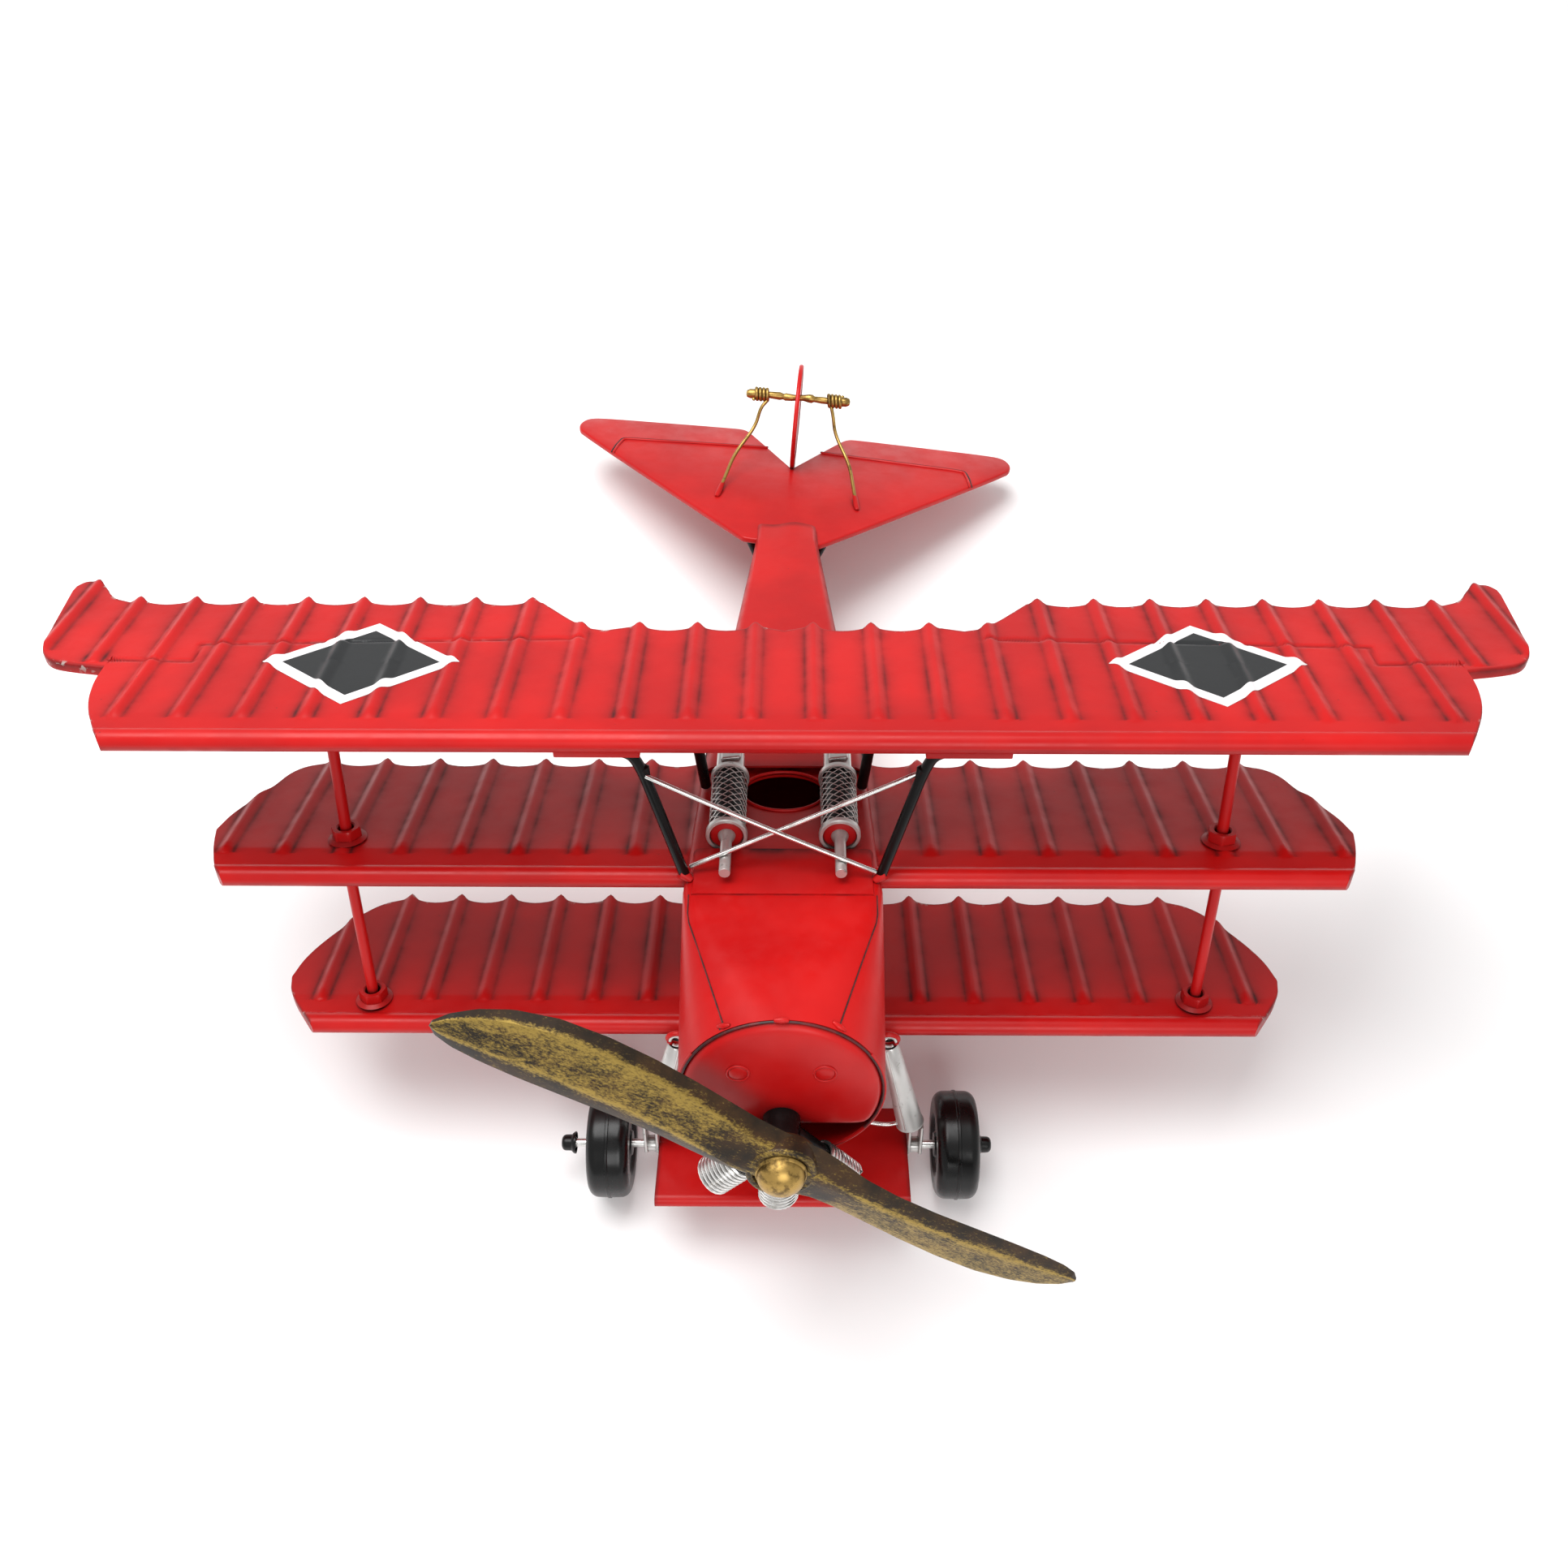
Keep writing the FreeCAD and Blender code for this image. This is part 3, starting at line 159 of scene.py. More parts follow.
def bend(points, reach=3.0, steps=6):
    """The same route with each inner corner rounded."""
    points = [Vector(p) for p in points]
    route = [points[0]]
    for before, corner, after in zip(points, points[1:], points[2:]):
        cut_in = min(reach, (before - corner).length * 0.48)
        cut_out = min(reach, (after - corner).length * 0.48)
        start = corner + (before - corner).normalized() * cut_in
        stop = corner + (after - corner).normalized() * cut_out
        for k in range(steps + 1):
            t = k / steps
            route.append(start * (1 - t) ** 2 + corner * 2 * t * (1 - t) + stop * t ** 2)
    route.append(points[-1])
    return route


def helix(start, axis, radius, turns, pitch, phase=0.0, steps=22):
    """Points of a screw line round an axis."""
    axis = Vector(axis).normalized()
    side = axis.orthogonal().normalized()
    up = axis.cross(side)
    points = []
    for k in range(int(turns * steps) + 1):
        turn = phase + 2 * math.pi * k / steps
        points.append(Vector(start) + axis * pitch * k / steps
                      + (side * math.cos(turn) + up * math.sin(turn)) * radius)
    return points


def circle(count, stop=None):
    """The angles of count equal steps round a circle, or the first stop of them."""
    return [2 * math.pi * k / count for k in range(stop or count)]


def mirrored(points, side):
    """Points drawn for the right side, put on the given side."""
    return [(side * x, y, z) for x, y, z in points]


def lathe(profile, start, axis, sides=56, wash=0.0):
    """A turned piece: profile is a list of (radius, height) along the axis from start."""
    axis = Vector(axis).normalized()
    side = axis.orthogonal().normalized()
    up = axis.cross(side)
    start = Vector(start)
    verts = []
    rings = []
    for radius, height in profile:
        centre = start + axis * height
        if radius < 1e-6:
            rings.append([len(verts)] * sides)
            verts.append(centre)
        else:
            rings.append(list(range(len(verts), len(verts) + sides)))
            for k in range(sides):
                turn = 2 * math.pi * k / sides
                verts.append(centre + (side * math.cos(turn) + up * math.sin(turn)) * radius)
    faces = []
    for low, high in zip(rings, rings[1:]):
        for k in range(sides):
            corners = [low[k], low[(k + 1) % sides], high[(k + 1) % sides], high[k]]
            face = [c for n, c in enumerate(corners) if c not in corners[:n]]
            if len(face) > 2:
                faces.append(face)
    return Shape().add(verts, faces, wash)


def arc(centre, radius, start, stop, steps=8):
    """Points (radius, height) of an arc, angles in degrees."""
    return [(centre[0] + radius * math.cos(math.radians(start + (stop - start) * k / steps)),
             centre[1] + radius * math.sin(math.radians(start + (stop - start) * k / steps)))
            for k in range(steps + 1)]


def slab(outline, low, high, wash=0.0):
    """A flat plate from a plan outline of (x, y)."""
    count = len(outline)
    verts = [(x, y, low) for x, y in outline] + [(x, y, high) for x, y in outline]
    faces = [list(range(count))[::-1], [count + k for k in range(count)]]
    faces += [[k, (k + 1) % count, count + (k + 1) % count, count + k] for k in range(count)]
    return Shape().add(verts, faces, wash)


def soften(points, passes=2, closed=False):
    """Cuts the corners of an outline, so that it reads as a smooth curve."""
    for _ in range(passes):
        nexts = points[1:] + (points[:1] if closed else [])
        cut = [] if closed else [points[0]]
        for (ax, ay), (bx, by) in zip(points, nexts):
            cut.append((ax * 0.75 + bx * 0.25, ay * 0.75 + by * 0.25))
            cut.append((ax * 0.25 + bx * 0.75, ay * 0.25 + by * 0.75))
        if not closed:
            cut.append(points[-1])
        points = cut
    return points


def piece(name, shape, slot, replaces=(), body="root", materials=None, matrix=STAND, bevel=0.0, sharp=35.0):
    """Makes one visible piece from a shape, puts it under its body and hides the CAD nodes it replaces.

    The material is the slot's own one, unless materials says otherwise.
    """
    mesh = bpy.data.meshes.new(name)
    mesh.from_pydata([matrix @ v for v in shape.verts], [], shape.faces)
    for key, values in (("wash", shape.wash), ("rub", shape.rub)):
        layer = mesh.attributes.new(key, "FLOAT", "POINT")
        layer.data.foreach_set("value", np.array(values, np.float32))
    materials = materials or FINISHES[slot]
    materials = materials if isinstance(materials, (list, tuple)) else [materials]
    for material in materials:
        mesh.materials.append(material)
    mesh.polygons.foreach_set("material_index", np.array(shape.inks, np.int32))
    mesh.validate()
    work = bmesh.new()
    work.from_mesh(mesh)
    bmesh.ops.remove_doubles(work, verts=work.verts, dist=2e-6)
    bmesh.ops.recalc_face_normals(work, faces=work.faces)
    work.to_mesh(mesh)
    work.free()
    obj = bpy.data.objects.new(name, mesh)
    bpy.context.scene.collection.objects.link(obj)
    if bevel:
        rounder = obj.modifiers.new("round", "BEVEL")
        rounder.width = bevel * MM
        rounder.segments = 3
        rounder.limit_method = "ANGLE"
        rounder.angle_limit = math.radians(30)
        apply_modifiers(obj)
    obj.data.shade_smooth()
    obj.data.set_sharp_from_angle(angle=math.radians(sharp))
    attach(obj, body)
    if replaces:
        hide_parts(*replaces)
    return obj


def apply_modifiers(obj):
    """Turns the modifiers into plain mesh."""
    bpy.context.view_layer.update()
    made = bpy.data.meshes.new_from_object(obj.evaluated_get(bpy.context.evaluated_depsgraph_get()))
    obj.modifiers.clear()
    obj.data = made


def side_name(side):
    return "left" if side < 0 else "right"


# ------------------------------------------------------------------ materials

class Nodes:
    """A short way to write one material's node tree."""

    def __init__(self, name):
        self.material = bpy.data.materials.new(name)
        self.material.use_nodes = True
        self.tree = self.material.node_tree
        self.shader = self.tree.nodes["Principled BSDF"]
        self.place = self.tree.nodes.new("ShaderNodeTexCoord").outputs["Object"]

    def put(self, socket, value):
        if isinstance(value, bpy.types.NodeSocket):
            self.tree.links.new(value, socket)
        elif hasattr(value, "__len__") and len(value) == 3:
            socket.default_value = (*value, 1.0) if len(socket.default_value) == 4 else value
        else:
            socket.default_value = value

    def set(self, **values):
        for key, value in values.items():
            self.put(self.shader.inputs[key.replace("_", " ")], value)
        return self

    def noise(self, scale, detail=4.0, rough=0.55, place=None, stretch=None):
        node = self.tree.nodes.new("ShaderNodeTexNoise")
        node.inputs["Scale"].default_value = scale
        node.inputs["Detail"].default_value = detail
        node.inputs["Roughness"].default_value = rough
        self.put(node.inputs["Vector"], self.stretched(stretch, place) if stretch else place or self.place)
        return node.outputs["Fac"]

    def stretched(self, stretch, place=None, turn=(0.0, 0.0, 0.0)):
        node = self.tree.nodes.new("ShaderNodeMapping")
        node.inputs["Scale"].default_value = stretch
        node.inputs["Rotation"].default_value = turn
        self.put(node.inputs["Vector"], place or self.place)
        return node.outputs["Vector"]

    def attribute(self, name):
        node = self.tree.nodes.new("ShaderNodeAttribute")
        node.attribute_name = name
        return node.outputs["Fac"]

    def crevice(self, distance):
        """Ambient occlusion, used by the materials as painted shade: 1 in the open and 0 deep in a corner."""
        node = self.tree.nodes.new("ShaderNodeAmbientOcclusion")
        node.samples = 6
        node.inputs["Distance"].default_value = distance * MM
        return node.outputs["AO"]

    def ramp(self, value, low, high, start=0.0, stop=1.0):
        node = self.tree.nodes.new("ShaderNodeMapRange")
        node.interpolation_type = "SMOOTHSTEP"
        self.put(node.inputs["Value"], value)
        for key, number in (("From Min", low), ("From Max", high), ("To Min", start), ("To Max", stop)):
            node.inputs[key].default_value = number
        return node.outputs["Result"]

    def maths(self, operation, a, b=0.0):
        node = self.tree.nodes.new("ShaderNodeMath")
        node.operation = operation
        node.use_clamp = operation in ("ADD", "MULTIPLY", "MAXIMUM", "SUBTRACT")
        self.put(node.inputs[0], a)
        self.put(node.inputs[1], b)
        return node.outputs["Value"]

    def mix(self, share, a, b):
        node = self.tree.nodes.new("ShaderNodeMix")
        node.data_type = "RGBA"
        self.put(node.inputs["Factor"], share)
        self.put(node.inputs["A"], a)
        self.put(node.inputs["B"], b)
        return node.outputs["Result"]

    def bump(self, height, strength, distance=0.1):
        node = self.tree.nodes.new("ShaderNodeBump")
        node.inputs["Strength"].default_value = strength
        node.inputs["Distance"].default_value = distance * MM
        self.put(node.inputs["Height"], height)
        self.put(self.shader.inputs["Normal"], node.outputs["Normal"])
        return self


def red_enamel():
    """Brushed red enamel with a dark wash left in the grooves, painted shade in the corners, and small chips.
    """
    n = Nodes("red_enamel")
    cloud = n.ramp(n.noise(26.0), 0.35, 0.7)
    red = n.mix(cloud, (0.42, 0.0045, 0.0050), (0.53, 0.0068, 0.0062))
    patchy = n.ramp(n.noise(95.0, 6.0, 0.65), 0.32, 0.62)
    groove = n.maths("MULTIPLY", n.attribute("wash"), n.ramp(n.noise(75.0, 5.0, 0.6), 0.30, 0.70, 0.35, 1.0))
    # Painted shade: ambient occlusion darkens the red deep in corners and where parts meet.
    corner = n.ramp(n.crevice(3.2), 0.35, 0.85, 1.0, 0.0)
    # The darkening mixes the dark wash of the grooves with the painted corner shade.
    darkening = n.maths("MAXIMUM", groove, n.maths("MULTIPLY", corner, n.maths("MULTIPLY", patchy, 0.85)))
    red = n.mix(darkening, red, (0.030, 0.004, 0.005))
    speck = n.ramp(n.noise(620.0, 3.0, 0.6), 0.74, 0.78)
    red = n.mix(n.maths("MULTIPLY", speck, 0.75), red, (0.05, 0.012, 0.010))
    chip = n.maths("MULTIPLY", n.attribute("rub"), n.ramp(n.noise(330.0, 4.0, 0.65), 0.60, 0.64))
    red = n.mix(chip, red, (0.42, 0.36, 0.33))
    gloss = n.ramp(n.noise(150.0, 4.0), 0.3, 0.7, 0.30, 0.44)
    n.set(Base_Color=red, Roughness=n.maths("ADD", gloss, n.maths("MULTIPLY", darkening, 0.2)))
    n.set(Specular_IOR_Level=0.24, Coat_Weight=0.04, Coat_Roughness=0.2)
    return n.bump(n.noise(420.0, 3.0), 0.16, 0.12).material


def black_enamel():
    """Satin black paint, a little dusty."""
    n = Nodes("black_enamel")
    dust = n.ramp(n.noise(180.0, 6.0, 0.7), 0.5, 0.8)
    n.set(Base_Color=n.mix(dust, (0.003, 0.003, 0.003), (0.010, 0.009, 0.009)))
    n.set(Roughness=n.ramp(n.noise(90.0), 0.3, 0.7, 0.26, 0.40), Specular_IOR_Level=0.2)
    return n.bump(n.noise(500.0), 0.12, 0.1).material


def moulded_black():
    """Moulded black plastic with faint dust."""
    n = Nodes("moulded_black")
    dust = n.ramp(n.noise(420.0, 8.0, 0.75), 0.62, 0.82, 0.0, 0.7)
    n.set(Base_Color=n.mix(dust, (0.003, 0.003, 0.003), (0.016, 0.015, 0.014)))
    n.set(Roughness=n.ramp(n.noise(120.0), 0.3, 0.7, 0.22, 0.36), Specular_IOR_Level=0.3)
    return n.bump(n.noise(300.0, 2.0), 0.08, 0.1).material


def silver_paint():
    """Silver paint with dark spots, and painted shade in the corners."""
    n = Nodes("silver_paint")
    # Painted shade: ambient occlusion darkens the silver in corners.
    painted_corner_shade = n.ramp(n.crevice(2.4), 0.3, 0.8, 1.0, 0.0)
    spots = n.ramp(n.noise(310.0, 6.0, 0.7), 0.58, 0.72)
    # The darkening is painted corner shade together with real dark spots.
    darkening = n.maths("MAXIMUM", n.maths("MULTIPLY", painted_corner_shade, 0.85), n.maths("MULTIPLY", spots, 0.6))
    n.set(Base_Color=n.mix(darkening, (0.60, 0.59, 0.57), (0.085, 0.070, 0.055)), Metallic=0.72)
    satin = n.ramp(n.noise(160.0), 0.3, 0.7, 0.28, 0.42)
    n.set(Roughness=n.maths("ADD", satin, n.maths("MULTIPLY", darkening, 0.25)))
    return n.bump(n.noise(380.0, 5.0), 0.25, 0.12).material


def bright_steel():
    """Drawn wire: bright, with fine dulling, and painted shade where it meets other parts."""
    n = Nodes("bright_steel")
    dull = n.ramp(n.noise(260.0, 6.0, 0.7), 0.45, 0.75)
    # Painted shade: ambient occlusion darkens the wire where it meets other parts.
    darkening = n.maths("MULTIPLY", n.ramp(n.crevice(1.2), 0.2, 0.75, 1.0, 0.0), 0.8)
    shade = n.mix(dull, (0.74, 0.73, 0.71), (0.42, 0.40, 0.37))
    n.set(Base_Color=n.mix(darkening, shade, (0.06, 0.055, 0.05)), Metallic=0.95)
    n.set(Roughness=n.ramp(n.noise(200.0), 0.3, 0.7, 0.18, 0.34))
    return n.bump(n.noise(700.0, 3.0, stretch=(1.0, 0.2, 1.0)), 0.08, 0.06).material


def brass():
    """Tarnished brass with dark stains, and painted shade in the corners."""
    n = Nodes("brass")
    stain = n.ramp(n.noise(210.0, 6.0, 0.7), 0.50, 0.66)
    # The darkening is real tarnish stains together with painted shade from ambient occlusion in the corners.
    darkening = n.maths("MAXIMUM", n.maths("MULTIPLY", stain, 0.75),
                   n.maths("MULTIPLY", n.ramp(n.crevice(1.6), 0.25, 0.8, 1.0, 0.0), 0.9))
    n.set(Base_Color=n.mix(darkening, (0.42, 0.265, 0.075), (0.030, 0.016, 0.006)), Metallic=0.88)
    n.set(Roughness=n.ramp(n.noise(160.0), 0.3, 0.7, 0.26, 0.46))
    return n.bump(n.noise(330.0, 5.0), 0.25, 0.12).material


def antique_blade():
    """Brown-black lacquer rubbed with gold, in short strokes along the blade."""
    n = Nodes("antique_blade")
    strokes = n.stretched((1.0, 1.0, 1.0), turn=(0.0, -BLADE_ANGLE, 0.0))
    long = n.noise(900.0, 7.0, 0.75, strokes, (0.22, 1.0, 1.0))
    grain = n.noise(2300.0, 4.0, 0.65, strokes, (0.5, 1.0, 1.0))
    patch = n.noise(95.0, 4.0, 0.6)
    field = n.maths("ADD", n.maths("MULTIPLY", long, 0.5), n.maths("MULTIPLY", grain, 0.5))
    bias = n.maths("ADD", n.maths("MULTIPLY", n.attribute("rub"), 0.26), n.maths("MULTIPLY", patch, 0.20))
    lift = n.maths("ADD", field, bias)
    gold = n.ramp(lift, 0.66, 0.90)
    brown = n.mix(n.ramp(patch, 0.35, 0.7), (0.012, 0.007, 0.003), (0.048, 0.022, 0.007))
    n.set(Base_Color=n.mix(gold, brown, (0.35, 0.235, 0.055)), Metallic=n.maths("MULTIPLY", gold, 0.6))
    n.set(Roughness=n.ramp(gold, 0.0, 1.0, 0.46, 0.34), Specular_IOR_Level=0.25)
    return n.bump(lift, 0.35, 0.14).material


def mark_paint(name, colour, stain):
    """Printed film: one colour, yellowed a little at its worn places."""
    n = Nodes(name)
    worn = n.ramp(n.noise(140.0, 7.0, 0.7), 0.58, 0.80, 0.0, 0.55)
    n.set(Base_Color=n.mix(worn, colour, stain), Roughness=n.ramp(n.noise(90.0), 0.3, 0.7, 0.30, 0.42))
    return n.bump(n.noise(500.0), 0.1, 0.08).material


def seam_line():
    """The line of dark wash left along a joint."""
    n = Nodes("seam_line")
    broken = n.ramp(n.noise(260.0, 5.0, 0.7), 0.30, 0.62)
    n.set(Base_Color=n.mix(broken, (0.14, 0.006, 0.006), (0.020, 0.004, 0.004)), Roughness=0.5)
    return n.bump(n.noise(500.0), 0.2, 0.1).material


RED = red_enamel()
BLACK = black_enamel()
TYRE = moulded_black()
SILVER = silver_paint()
STEEL = bright_steel()
BRASS = brass()
BLADE = antique_blade()
SEAM = seam_line()
INK = mark_paint("mark_black", (0.010, 0.011, 0.012), (0.035, 0.035, 0.033))
BORDER = mark_paint("mark_white", (0.78, 0.75, 0.76), (0.40, 0.34, 0.27))
FINISHES = {"red_enamel": RED, "black_enamel": BLACK, "black_tyre": TYRE, "silver_paint": SILVER,
            "bright_steel": STEEL, "brass": BRASS, "antique_blade": BLADE}


# ------------------------------------------------------------------ wings

class Wing:
    """One pressed-tin wing: a sheet with ribs behind a rolled leading edge."""

    def __init__(self, front, top, slope, ribs, outline_front, outline_rear, grooves=()):
        self.front = front
        self.top_z = top
        self.fall = math.tan(math.radians(slope))
        self.bead_y = front - 9.8
        self.nose = self.bead_y - 2.8
        self.ribs = ribs
        self.front_x, self.front_y = (np.array(row, float) for row in zip(*outline_front))
        self.rear_x, self.rear_y = (np.array(row, float) for row in zip(*outline_rear))
        self.grooves = grooves

    def edge_front(self, x):
        return np.interp(abs(x), self.front_x, self.front_y)

    def edge_rear(self, x):
        plain = np.interp(abs(x), self.rear_x, self.rear_y)
        for rib_x, _, stop in self.ribs:
            plain = plain + 0.8 * np.exp(-((abs(x) - rib_x) / 1.5) ** 2) * (abs(plain - stop) < 3.0)
        return plain

    def skin(self, y):
        """Upper skin with the rolled bead blended in."""
        flat = self.top_z - np.maximum(0.0, y - self.front) * self.fall
        bead = self.top_z - 1.0 + np.sqrt(np.maximum(0.0, 2.8 ** 2 - (y - self.bead_y) ** 2))
        ahead = y < self.bead_y + 2.8
        blend = 0.5 * (flat + bead + np.sqrt((flat - bead) ** 2 + 0.12))
        return np.where(y < self.bead_y, bead, np.where(ahead, blend, flat))

    def pressed(self, x, y):
        """Height of the ribs over the skin."""
        lift = np.zeros(np.broadcast(x, y).shape)
        for rib_x, start, stop in self.ribs:
            across = np.clip(abs(abs(x) - rib_x) / 2.5, 0.0, 1.0)
            fade = np.clip((y - start + 2.2) / 4.0, 0.0, 1.0) * np.clip((stop + 3.0 - y) / 3.0, 0.0, 1.0)
            lift = np.maximum(lift, 0.95 * (0.5 + 0.5 * np.cos(math.pi * across)) * np.sqrt(fade))
        return lift

    def groove(self, x, y):
        """1 on the pressed aileron line, falling to 0 beside it."""
        depth = np.zeros(np.broadcast(x, y).shape)
        for (ax, ay), (bx, by) in zip(self.grooves, self.grooves[1:]):
            run = np.array((bx - ax, by - ay))
            share = np.clip(((abs(x) - ax) * run[0] + (y - ay) * run[1]) / run.dot(run), 0.0, 1.0)
            off = np.hypot(abs(x) - ax - share * run[0], y - ay - share * run[1])
            depth = np.maximum(depth, np.exp(-(off / 0.55) ** 2))
        return depth

    def height(self, x, y):
        return self.skin(y) + self.pressed(x, y) - 0.45 * self.groove(x, y)

    def darkening(self, x, y):
        """Where the dark wash stays: beside each rib, in the grooves and along the edges."""
        wash = 0.9 * self.groove(x, y)
        for rib_x, start, stop in self.ribs:
            off = abs(abs(x) - rib_x)
            band = 0.8 * np.exp(-((off - 2.4) / 0.7) ** 2) + 0.35 * np.exp(-((off - 3.0) / 1.9) ** 2)
            inside = (y > start - 2.0) & (y < stop + 1.5)
            blot = 1.0 + 0.35 * np.exp(-((y - start) / 2.2) ** 2)
            wash = np.maximum(wash, 0.66 * band * blot * inside)
        bead = 3.0 * (self.edge_front(x) < self.nose + 0.5)
        rim = np.minimum(abs(y - self.edge_rear(x)), abs(y - self.edge_front(x)) + bead)
        return np.clip(np.maximum(wash, 0.8 * np.exp(-(rim / 0.8) ** 2)), 0.0, 1.0)


def scallops(first, last, y, depth):
    """Trailing-edge points between two ribs: fullest at the ribs and hollow between them."""
    points = []
    steps = int(round((last - first) / PITCH)) * 8
    for k in range(steps + 1):
        share = (k % 8) / 8.0
        points.append((first + PITCH * k / 8.0, y - depth * math.sin(math.pi * share) ** 0.8))
    return points


def top_wing():
    chord, wide, depth = 44.2, 58.0, 2.6
    rear = [(0.0, chord - depth)] + scallops(0.5 * PITCH, 2.5 * PITCH, chord, depth)
    rear += soften([(3.1 * PITCH, chord - depth), (3.5 * PITCH, chord - 1.0), (4.3 * PITCH, wide - 1.2)], 3)
    rear += scallops(4.5 * PITCH, 11.5 * PITCH, wide, depth)
    horn = [(182.0, 56.6), (188.0, 59.0), (192.5, 66.0), (196.5, 68.8), (199.3, 69.0), (200.8, 66.0)]
    rear += soften(horn, 2)
    front = [(0.0, -12.6), (162.5, -12.6)]
    front += soften([(163.2, -12.5), (167.0, -6.5), (172.4, 3.5), (175.0, 13.5), (175.3, 21.0)], 2)
    front += soften([(175.4, 21.4), (188.0, 23.6), (192.5, 26.0), (196.0, 31.5), (200.8, 62.0)], 2)
    ribs = [((k + 0.5) * PITCH, 0.0, chord) for k in range(4)]
    ribs += [((k + 0.5) * PITCH, 0.0, wide) for k in range(4, 11)]
    ribs += [(11.5 * PITCH, 26.0, wide), (12.5 * PITCH, 32.0, 68.0)]
    line = [(175.3, 25.2), (153.4, 24.6), (154.2, 33.4), (54.0, 37.0)]
    return Wing(0.0, 0.0, 2.6, ribs, front, rear, line)


def plain_wing(front_y, top, slope, chord, tip, edge, count, bay=None):
    """A wing with raked round tips; bay is the half width and rear of the part inside the fuselage."""
    back = front_y + chord
    nose = front_y - 12.6
    depth = 2.6
    last = (count - 0.5) * PITCH
    rear = [(0.0, back - depth)]
    if bay:
        rear = [(0.0, bay[1]), (bay[0], bay[1]), (bay[0] + 0.1, back - depth)]
    rear += [p for p in scallops(0.5 * PITCH, last - PITCH, back, depth) if not bay or p[0] > bay[0] + 1.0]
    rear += soften([(last - PITCH + 0.5, back - 0.6), (last - 5.5, back - 3.8), (tip - 7.5, back - 16.5),
                    (tip - 1.6, back - 28.0), (tip, back - 37.0)], 3)
    front = [(0.0, nose), (edge - 0.4, nose)]
    front += soften([(edge, nose), (edge + 3.5, nose + 4.5), (tip - 1.5, back - 44.5), (tip, back - 38.5)], 2)
    ribs = [((k + 0.5) * PITCH, front_y, back) for k in range(count - 1)]
    ribs.append((last, front_y, back - 11.0))
    return Wing(front_y, top, slope, ribs, front, rear)


def wing_shape(wing, gauge_front=3.6, gauge_rear=1.2):
    """The closed mesh of a wing: upper skin with ribs, lower skin, and rounded rims."""
    half = wing.rear_x[-1]
    right = np.unique(np.round(np.concatenate([
        np.arange(0.0, half, 0.78), wing.front_x, wing.rear_x[wing.rear_x > half - 22.0],
        [x for rib in wing.ribs for x in (rib[0] - 2.5, rib[0], rib[0] + 2.5)], [half]]), 2))
    xs = np.concatenate([-right[:0:-1], right])
    curl = np.array([2.8 * (1.0 - math.cos(math.radians(a))) for a in range(0, 120, 9)])
    y0, y1 = wing.edge_front(xs), wing.edge_rear(xs)
    full = float(wing.rear_y.max()) - wing.nose
    middle = np.linspace(curl[-1], full - 0.8, 96)[1:]
    share = np.concatenate([curl, middle, [full - 0.45, full - 0.2, full - 0.06, full]]) / full
    ys = y0[:, None] + (y1 - y0)[:, None] * share[None, :]
    grid_x = np.repeat(xs[:, None], len(share), 1)
    upper = wing.height(grid_x, ys)
    blunt = np.maximum(0.0, 0.5 - (y1[:, None] - ys)) / 0.5
    upper = upper - 0.45 * (1.0 - np.sqrt(np.maximum(0.0, 1.0 - blunt ** 2)))
    cut = (y0 > wing.nose + 1.0)[:, None]
    front_round = np.maximum(0.0, 0.9 - (ys - y0[:, None])) / 0.9
    upper = upper - cut * 0.7 * (1.0 - np.sqrt(np.maximum(0.0, 1.0 - front_round ** 2)))
    part = np.clip((ys - wing.front) / (wing.rear_y.max() - wing.front), 0.0, 1.0)
    flat = wing.top_z - np.maximum(0.0, ys - wing.front) * wing.fall
    lower = flat - gauge_front - (gauge_rear - gauge_front) * part
    bead = wing.top_z - 1.0 - np.sqrt(np.maximum(0.0, 2.8 ** 2 - (ys - wing.bead_y) ** 2))
    lower = np.where(ys < wing.bead_y, bead, np.where(ys < wing.bead_y + 0.9, np.minimum(bead, lower), lower))
    wash = wing.darkening(grid_x, ys)
    rub = np.exp(-((y1[:, None] - ys) / 0.8) ** 2) + 0.8 * cut * np.exp(-((ys - y0[:, None]) / 0.9) ** 2)
    rows, columns = len(xs), len(share)
    under = np.concatenate([np.arange(1, len(curl)), np.arange(len(curl), columns - 1, 4), [columns - 1]])
    verts = [(grid_x[i, j], ys[i, j], upper[i, j]) for i in range(rows) for j in range(columns)]
    shape = Shape()
    offset = len(verts)
    verts += [(grid_x[i, j], ys[i, j], lower[i, j]) for i in range(rows) for j in under]
    faces = grid_faces(rows, columns)
    count = len(under)
    faces += [[offset + v for v in face[::-1]] for face in grid_faces(rows, count)]
    for i in range(rows - 1):
        a, b = i * columns, (i + 1) * columns
        c, d = offset + i * count, offset + (i + 1) * count
        faces.append([a, c, d, b])
        faces.append([a + columns - 1, b + columns - 1, d + count - 1, c + count - 1])
    for i in (0, rows - 1):
        top_row = [i * columns + j for j in range(columns)]
        low_row = [offset + i * count + j for j in range(count)]
        faces.append(top_row + low_row[::-1])
    values = list(wash.ravel()) + [0.25] * (rows * count)
    rubs = list(np.clip(rub, 0, 1).ravel()) + [0.0] * (rows * count)
    return shape.add(verts, faces, values, rubs)


TOP = top_wing()
MIDDLE = plain_wing(1.4, -45.0, 8.0, 46.6, 154.0, 145.5, 10, bay=(23.4, 16.0))
LOWER = plain_wing(-2.3, -97.6, 5.0, 45.4, 143.5, 132.0, 9)


def add_wings():
    for name, wing in (("top", TOP), ("middle", MIDDLE), ("lower", LOWER)):
        piece(name + "_wing_skin", wing_shape(wing), "red_enamel", [name + "_wing"])


